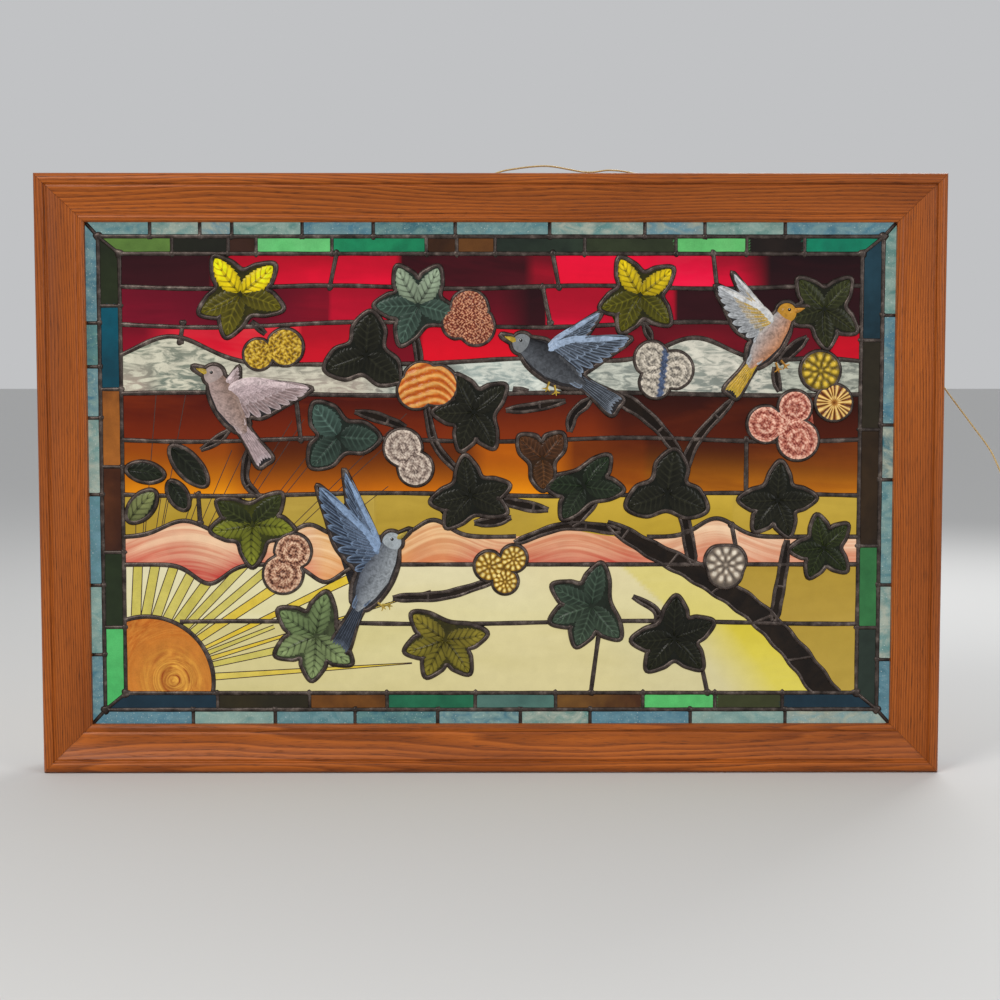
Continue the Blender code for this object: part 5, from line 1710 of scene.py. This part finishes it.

# %% [markdown]
# ## Blossoms
#
# Each blossom is one cast cushion that fills its lead. Its points run from a centre out to the outline, and
# each one also knows its place in the nearest round: r is the distance from that round's middle over its
# radius, and turn the angle there. A pattern is a formula of these that gives 0 in hollows and 1 on crests,
# and it sets height and colour: the glass's own colours darken into the hollows as painted shade and pale
# on the crests as painted highlight.

# %% Blossom patterns
jewel_glass = glass_finish("jewel_glass", (70.0, 70.0, 70.0), (0.40, 0.62), 0.95, 2.5, 0.4, 0.15, 0.08)


def pebbles(x, z, r, turn, seed):
    """Nuggets: the product of two sine waves whose axes other sine waves bend."""
    u = 0.62 * x + 1.5 * np.sin(0.33 * z + seed) + 0.8 * np.sin(0.9 * z)
    v = 0.62 * z + 1.5 * np.sin(0.29 * x - seed) + 0.8 * np.sin(1.1 * x)
    return 0.5 + 0.5 * np.sin(u) * np.sin(v)


def small_pebbles(x, z, r, turn, seed):
    """The same nuggets at just over half the size."""
    return pebbles(1.75 * x, 1.75 * z, r, turn, seed)


def swirls(x, z, r, turn, seed):
    """Streaks that lie flat and sag: a sine of the height, bent by two slow waves."""
    bent = z + 0.014 * (x + 80) ** 2 + 2.8 * np.sin(0.11 * x + seed) + 0.4 * np.sin(0.33 * x + 0.5 * z)
    return 0.5 + 0.42 * np.sin(0.6 * bent) + 0.1 * np.sin(1.3 * bent + 0.2 * x)


def spokes(x, z, r, turn, seed):
    """Fine rays: a cosine of many times the angle, with a plain ring round the eye."""
    rays = np.cos(19 * turn + 1.6 * np.sin(5 * turn + seed)) * np.clip(2.2 * r, 0, 1)
    return np.clip(0.48 + 0.46 * rays + 0.3 * ridge(r - 0.28, 0.09) - 0.3 * ridge(r, 0.1), 0, 1)


def petals(x, z, r, turn, seed):
    """Two rings of round petals, nine outside and six inside, and an eye."""
    outside = (0.5 + 0.5 * np.cos(11 * turn + seed)) * ridge(r - 0.72, 0.17)
    inside = (0.5 + 0.5 * np.cos(7 * turn - seed)) * ridge(r - 0.36, 0.13)
    return np.clip(0.16 + 0.9 * outside + 0.75 * inside + 0.5 * ridge(r, 0.09), 0, 1)


def beads(x, z, r, turn, seed):
    """Grainy rings: a cosine of the distance out, plus nuggets a few millimetres wide."""
    u = x + 1.9 * np.sin(0.41 * z + seed) + 0.9 * np.sin(0.93 * z)
    v = z + 1.9 * np.sin(0.37 * x - seed) + 0.9 * np.sin(0.83 * x)
    grains = np.sin(1.1 * u) * np.sin(1.05 * v) + 0.4 * np.sin(0.47 * u + 0.9 * v)
    return np.clip(0.5 + 0.2 * np.cos(4.4 * math.pi * r) + 0.3 * grains, 0, 1)


def cushion(shape, outline, rounds, pattern, deep, tint, crest, seed, stripe=None):
    """A cast cushion from the middle of its rounds out to its lead, crowned as the root of one minus out to
    the sixth. The colour goes from deep through tint to crest as the pattern rises, so it carries painted shade
    in the hollows and painted highlight on the crests. A stripe takes a colour of its own, shaded by the
    pattern in the same way."""
    around = evenly(np.concatenate([outline, outline[:1]]), 1.25)[:-1]
    rounds = np.array(rounds, float)
    centre = rounds[:, :2].mean(axis=0)
    out = np.linspace(0, 1, 34)[:, None]
    x = centre[0] + (around[:, 0] - centre[0]) * out
    z = centre[1] + (around[:, 1] - centre[1]) * out
    gaps = np.hypot(x[..., None] - rounds[:, 0], z[..., None] - rounds[:, 1]) / rounds[:, 2]
    nearest = rounds[gaps.argmin(axis=-1)]
    turn = np.arctan2(z - nearest[..., 1], x - nearest[..., 0])
    value = np.clip(1.35 * pattern(x, z, gaps.min(axis=-1), turn, seed) - 0.175, 0, 1)
    crown = np.sqrt(np.clip(1 - out**6, 0, 1))
    height = 0.3 + (2.1 + 1.7 * value) * crown
    # Painted light: the colour follows the relief, darker as painted shade in the hollows and paler as painted
    # highlight on the crests.
    low = np.clip(2 * value, 0, 1)[..., None]
    high = np.clip(2 * value - 1, 0, 1)[..., None]
    deep, tint, crest = (np.array(shade(*c)) for c in (deep, tint, crest))
    colour = deep + (tint - deep) * low
    colour = colour + (crest - colour) * high
    if stripe:
        place, half, stripe_colour = stripe
        off = np.abs(x - place - 0.12 * (z - centre[1]) - 1.1 * np.sin(0.9 * z))
        inside = np.clip(2.5 - 2.5 * off / half, 0, 1)[..., None]
        colour = colour + (np.array(shade(*stripe_colour)) * (0.5 + value[..., None]) - colour) * inside
    front = np.stack([x, -(CAST_FACE + height), z], axis=-1)
    back = front[[-1, 0]].copy()
    back[..., 1] = -CAST_SEAT
    colour = np.concatenate([colour, colour[[-1, 0]]])
    skin = np.concatenate([front, back]) * MM
    shape.surface(skin, wrap_columns=True, tint=colour, streak=colour * 0.8, grain=(0, 0, seed))


# %% Blossoms
# Name, rounds as (x, z, radius), pattern, and the colours of hollows, slopes and crests, which carry painted
# shade and painted highlight
BLOSSOMS = (
    (
        "blossom_yellow_pear", ((-265, 165, 23), (-299, 156, 19)), pebbles,
        (108, 78, 12), (184, 142, 30), (230, 194, 74),
    ),
    (
        "blossom_copper", ((-28, 214, 24), (-20, 192, 24), (-42, 196, 20)), small_pebbles,
        (66, 16, 12), (146, 64, 42), (226, 170, 130),
    ),
    (
        "blossom_orange", ((-96, 110, 24), (-70, 116, 26), (-88, 120, 26)), swirls,
        (186, 84, 20), (214, 124, 44), (234, 172, 96),
    ),
    (
        "blossom_white_pair", ((-114, 36, 24), (-98, 9, 22)), beads,
        (90, 74, 68), (172, 152, 138), (228, 212, 194),
    ),
    ("blossom_sky", ((205, 148, 22), (237, 134, 24)), beads, (92, 86, 82), (178, 168, 152), (230, 218, 200)),
    ("blossom_yellow_round", ((424, 135, 25),), petals, (82, 64, 18), (166, 138, 40), (236, 198, 66)),
    ("blossom_amber_round", ((442, 94, 23),), spokes, (92, 40, 10), (184, 122, 52), (246, 210, 128)),
    (
        "blossom_pink", ((354, 66, 23), (392, 88, 21), (396, 46, 26)), beads,
        (112, 30, 24), (194, 114, 94), (252, 200, 174),
    ),
    (
        "blossom_rose_pair", ((-257, -99, 23), (-270, -128, 25)), beads,
        (64, 30, 22), (168, 114, 88), (244, 206, 172),
    ),
    (
        "blossom_yellow_triple", ((-2.5, -118, 19), (29, -108, 17), (18, -138, 16)), petals,
        (84, 54, 10), (194, 148, 46), (254, 232, 146),
    ),
    ("blossom_white_square", ((304, -116, 26),), petals, (86, 76, 68), (162, 146, 128), (232, 220, 200)),
)
for n, (name, rounds, pattern, deep, tint, crest) in enumerate(BLOSSOMS):
    blossom = Shape()
    outline = set_in_lead(blossom, name, tint=shade(*tint), streak=shade(*deep), grain=(0, 0, n * 1.7))
    stripe = (222, 5.0, (74, 88, 116)) if name == "blossom_sky" else None
    cushion(blossom, outline, rounds, pattern, deep, tint, crest, n * 2.7, stripe)
    blossom.piece("cast_" + name, jewel_glass, (name,), sharp=50, merge=1e-7)

# %% [markdown]
# ## Birds
#
# A bird is a low relief: an egg-shaped body, a domed head, and wings and tail laid up from single feathers
# like tiles on a roof. A feather is a surface of two parameters with a shaft along its middle, and dark
# enamel is painted in the gaps, so each feather keeps a pale edge. The same function makes all four birds
# from a few directions and lengths.

# %% Bird parts
bird_glass = glass_finish("bird_glass", (120.0, 120.0, 120.0), (0.42, 0.66), 0.86, 1.5, 0.5, 0.0, 0.12)
HEAD_RADIUS = 14.0
BEAK_LENGTH = 14.0


def feather(shape, root, tip, half_width, lift, tint, edge, seed, sweep=0.0):
    """A blade from root to tip: full for most of its length, round at the end, with a shaft and painted
    barbs. Its colour goes from the tint at the shaft to the edge colour, with the fourth power of the way
    across."""
    s = np.linspace(0, 1, 21)[:, None]
    t = np.linspace(-1, 1, 11)[None]
    root, tip = np.array(root, float), np.array(tip, float)
    length = max(float(np.linalg.norm(tip - root)), 1.0)
    unit = (tip - root) / length
    width = half_width * np.minimum(1.0, 0.5 + 1.6 * s) * np.sqrt(np.clip(1.0 - s**6, 0.0004, 1))
    aside = t * width + sweep * length * s * (1 - s)
    x = root[0] + unit[0] * s * length - unit[1] * aside
    z = root[1] + unit[1] * s * length + unit[0] * aside
    height = lift * (1 - 0.3 * s) + 0.75 * (1 - t**2) + 0.4 * ridge(t, 0.14) + 0.3 * t
    barbs = 0.5 + 0.5 * np.sin((s * length / 3.4 + np.abs(t) * 0.9 + seed) * 2 * math.pi)
    toward_edge = np.clip(np.abs(t) ** 3 + 0.9 * np.clip((s - 0.86) * 6, 0, 1), 0, 1)
    shaft = ridge(t, 0.12) * 0.55
    mixed = np.clip(toward_edge + shaft, 0, 1)[..., None]
    colour = np.array(tint) + (np.array(edge) - np.array(tint)) * mixed
    gap = 1 - 0.75 * np.clip((t - 0.80) * 6, 0, 1) * np.ones_like(s)
    colour = colour * (0.72 + 0.32 * barbs * (1 - toward_edge))[..., None] * gap[..., None]
    relief(shape, x, z, np.maximum(height, 0.15), tint=colour, streak=colour * 0.62, grain=(0, 0, seed))


def limb(shape, spine, widths, heights, tint, low_tint, seed, speckle=0.25):
    """A long rounded form on a smooth spine: across it, height is a half circle; along it, both width and
    height follow given sizes. Its colour goes from one tint to another from its left side to its right
    side."""
    line = smooth_path(spine, 1.6)
    s = np.linspace(0, 1, len(line))
    width = np.interp(s, np.linspace(0, 1, len(widths)), widths)
    high = np.interp(s, np.linspace(0, 1, len(heights)), heights)
    left, right = sides_of(np.concatenate([line, 2 * width[:, None]], axis=1))
    t = np.linspace(-1, 1, 21)
    spots = (left + right)[:, None] / 2 + (left - right)[:, None] / 2 * t[None, :, None]
    height = 0.2 + high[:, None] * np.sqrt(1 - t**2)[None]
    ruffle = np.sin(spots[..., 0] * 1.7 + seed) * np.sin(
        spots[..., 1] * 1.9 - seed
    ) * np.cos(spots[..., 0] * 0.6)
    height = height + 0.22 * ruffle * np.sqrt(1 - t**2)
    share = (0.5 + 0.5 * t)[None, :, None]
    colour = np.array(low_tint) + (np.array(tint) - np.array(low_tint)) * share
    colour = np.clip(colour * (1 + speckle * ruffle[..., None]), 0, 1)
    relief(shape, spots[..., 0], spots[..., 1], height, tint=colour, streak=colour * 0.55, grain=(0, 0, seed))


def dome(shape, centre, radius, rise, tint, seed, lift=0.0, squash=1.0, direction=0.0):
    """A round dome: height falls off as the root of one minus the square of the distance out."""
    out = np.sin(np.linspace(0, math.pi / 2, 13))[:, None]
    angle = np.linspace(0, 2 * math.pi, 37)[None]
    spots = towards(centre, direction, radius * out * np.cos(angle), squash * radius * out * np.sin(angle))
    height = lift + rise * np.sqrt(np.clip(1 - out**2, 0, 1)) + 0 * angle
    darker = tuple(0.7 * v for v in tint)
    relief(shape, spots[..., 0], spots[..., 1], height, tint=tint, streak=darker, grain=(0, 0, seed))


def wing(shape, root, direction, span, chord, front, colours, lift, seed):
    """A spread wing: long flight feathers from the arm to the trailing edge, a row of coverts over their
    roots, small scale feathers over those, and a rounded arm along the leading edge."""
    dark, edge, shoulder = colours

    def spot(s, w):
        return towards(root, direction, s * span, front * w * chord)

    trailing = np.array([(0.12, -0.86), (0.42, -0.93), (0.70, -0.62), (0.92, -0.28), (0.99, -0.04)])
    count = 10
    for i in range(count):
        q = i / (count - 1)
        end = np.array([np.interp(q, np.linspace(0, 1, 5), trailing[:, k]) for k in (0, 1)])
        start = spot(0.03 + 0.46 * q, 0.10 + 0.20 * q)
        tip = spot(*end)
        feather(
            shape, start, tip, 0.135 * chord + 1.2, lift + 1.6 - 0.10 * i, dark, edge, seed + i, 0.05 * front
        )
    for layer, (reach, thick, more) in enumerate(((0.56, 0.13, 1.2), (0.32, 0.12, 2.1))):
        count = 9
        for i in range(count):
            q = i / (count - 1)
            end = np.array([np.interp(q * 0.86, np.linspace(0, 1, 5), trailing[:, k]) for k in (0, 1)])
            base = np.array((0.0 + 0.50 * q, 0.22 + 0.16 * q))
            tip = base + (end - base) * reach
            tone = shoulder if layer else tuple(0.5 * (a + b) for a, b in zip(dark, shoulder))
            top = lift + 1.6 + more - 0.08 * i
            feather(shape, spot(*base), spot(*tip), thick * chord + 1.0, top, tone, edge, seed + 20 * layer + i)
    arm = [spot(-0.02, 0.12), spot(0.16, 0.36), spot(0.33, 0.43), spot(0.62, 0.24), spot(0.97, -0.01)]
    thick = (0.12 * chord + 1.6, 0.14 * chord + 1.6, 0.13 * chord + 1.5, 0.09 * chord + 1.4, 1.0)
    band = tuple(0.8 * a + 0.2 * b for a, b in zip(edge, shoulder))
    limb(shape, arm, thick, (lift + 4.6, lift + 4.8, lift + 4.2, lift + 3.0, lift + 1.4), edge, band, seed, 0.1)


def bird(name, body, head, beak, girth, tail, tail_width, wings, paint, feet=None):
    """A songbird in flight from directions and lengths. paint holds its colours: breast, back, flight
    feathers, their edges, shoulder, tail, head and beak."""
    made = Shape()
    colour = {key: shade(*value) for key, value in paint.items()}
    set_in_lead(made, name, 7.2, tint=shade(40, 38, 40), streak=shade(58, 55, 56), grain=(0, 0, head[0] * 0.1))
    head_at = towards(body, *head)
    rump = towards(body, tail[0], 0.42 * tail[1])
    axis = math.degrees(math.atan2(head_at[1] - rump[1], head_at[0] - rump[0]))
    length = float(np.linalg.norm(head_at - rump))
    middle = (head_at + rump) / 2
    root = towards(middle, axis, 0.12 * length)
    seed = abs(head[0]) * 0.37
    count = 6
    for i in range(count):
        k = -1 + 2 * i / (count - 1)
        start = towards(body, tail[0], 0.30 * tail[1], k * 3.5)
        tip = towards(body, tail[0], tail[1] * (0.96 + 0.05 * abs(k)), k * (tail_width / 2 - 2.6))
        feather(made, start, tip, 3.4, 1.0 + 0.35 * (1 - abs(k)), colour["tail"], colour["tail_edge"], seed + i)
    behind = sorted(wings, key=lambda w: w[1] * w[2])
    for n, (direction, span, chord) in enumerate(behind):
        front = 1 if math.sin(math.radians(axis - direction)) > 0 else -1
        tones = (colour["flight"], colour["edge"], colour["shoulder"])
        wing(made, root, direction, span, chord, front, tones, 0.3 + 1.6 * n, seed + 7 * n)
    spine = [
        towards(rump, axis, -4.0),
        towards(middle, axis, -0.22 * length),
        towards(middle, axis, 0.10 * length),
        towards(head_at, axis, -8.0),
        towards(head_at, axis, 2.0),
    ]
    slim = girth * 0.82
    widths = (3.5, 0.72 * slim, slim, 0.86 * slim, 9.5)
    limb(made, spine, widths, (3.0, 6.0, 8.2, 8.0, 5.5), colour["back"], colour["breast"], seed)
    for i in range(7):
        back = towards(middle, axis, (0.22 - 0.085 * i) * length, (-1) ** i * 0.22 * girth)
        tip = towards(back, axis + 180, 0.24 * length)
        feather(made, back, tip, 0.20 * girth, 6.4 - 0.5 * i, colour["back"], colour["edge"], seed + 40 + i)
    dome(made, head_at, HEAD_RADIUS - 1.6, 8.6, colour["head"], seed + 3)
    tip = towards(head_at, beak, HEAD_RADIUS + BEAK_LENGTH - 4)
    beak_spine = [towards(head_at, beak, 8.5), towards(head_at, beak, 15.0, -0.4), tip]
    beak_shade = tuple(0.45 * v for v in colour["beak"])
    limb(made, beak_spine, (4.0, 2.9, 0.5), (6.0, 4.4, 1.2), colour["beak"], beak_shade, seed, 0.0)
    up = 1 if math.cos(math.radians(beak)) > 0 else -1
    eye = towards(head_at, beak, 3.0, up * 3.2)
    dome(made, eye, 3.3, 1.6, tuple(min(1.0, 1.25 * v) for v in colour["head"]), seed + 5, 7.3)
    dome(made, eye, 2.3, 1.5, shade(18, 14, 12), seed + 6, 8.0)
    glint = towards(eye, 120, 0.7)
    dome(made, glint, 0.6, 0.5, (0.85, 0.85, 0.82), seed + 7, 9.3)
    for foot, direction in feet or ():
        ankle = towards(body, *foot)
        skin = (colour["beak"], shade(120, 88, 40), seed, 0.0)
        limb(made, [ankle, towards(ankle, direction, 8.0)], (1.5, 1.3), (3.0, 2.4), *skin)
        for toe in (-38, 0, 38):
            grip = towards(ankle, direction, 7.5)
            claw = [grip, towards(grip, direction + toe, 3.4), towards(grip, direction + 1.5 * toe, 6.4)]
            limb(made, claw, (1.2, 1.0, 0.5), (2.4, 2.0, 1.0), *skin)
    made.piece("cast_" + name, bird_glass, (name,), sharp=50, merge=1e-7)


print("bird functions are ready")

# %% Birds
bird(
    "bird_pale",
    body=(-338, 88),
    head=(115, 45),
    beak=158,
    girth=21,
    tail=(-57, 84),
    tail_width=24,
    wings=((6, 110, 34), (66, 42, 13)),
    paint=dict(
        breast=(150, 122, 108), back=(188, 164, 158), flight=(150, 126, 124), edge=(234, 212, 212),
        shoulder=(214, 190, 192), tail=(176, 152, 152), tail_edge=(240, 220, 222), head=(176, 158, 152),
        beak=(226, 190, 74),
    ),
)
bird(
    "bird_grey",
    body=(86, 142),
    head=(149, 54),
    beak=158,
    girth=24,
    tail=(-35, 92),
    tail_width=28,
    wings=((14, 112, 32), (40, 92, 20)),
    paint=dict(
        breast=(30, 30, 34), back=(96, 100, 106), flight=(40, 42, 48), edge=(172, 192, 218),
        shoulder=(72, 78, 88),
        tail=(34, 36, 42), tail_edge=(168, 180, 196), head=(134, 138, 140), beak=(232, 196, 70),
    ),
    feet=(((-118, 24), -110), ((-100, 26), -80)),
)
bird(
    "bird_golden",
    body=(353, 168),
    head=(57, 49),
    beak=14,
    girth=21,
    tail=(-125, 76),
    tail_width=22,
    wings=((140, 94, 30), (124, 92, 14)),
    paint=dict(
        breast=(206, 140, 96), back=(176, 172, 170), flight=(166, 168, 170), edge=(226, 230, 234),
        shoulder=(214, 172, 44),
        tail=(206, 162, 40), tail_edge=(240, 206, 84), head=(200, 144, 50), beak=(228, 160, 60),
    ),
    feet=(((-60, 26), -70), ((-45, 28), -50)),
)
bird(
    "bird_slate",
    body=(-154, -134),
    head=(62, 54),
    beak=34,
    girth=24,
    tail=(-116, 102),
    tail_width=26,
    wings=((126, 130, 32), (109, 132, 20)),
    paint=dict(
        breast=(164, 170, 174), back=(86, 92, 104), flight=(32, 38, 54), edge=(148, 174, 208),
        shoulder=(88, 100, 120),
        tail=(32, 36, 46), tail_edge=(116, 128, 146), head=(172, 180, 184), beak=(214, 186, 84),
    ),
    feet=(((-78, 32), -40), ((-70, 36), -10)),
)

cast_rims.piece("cast_rims", lead, sharp=60, merge=1e-7)
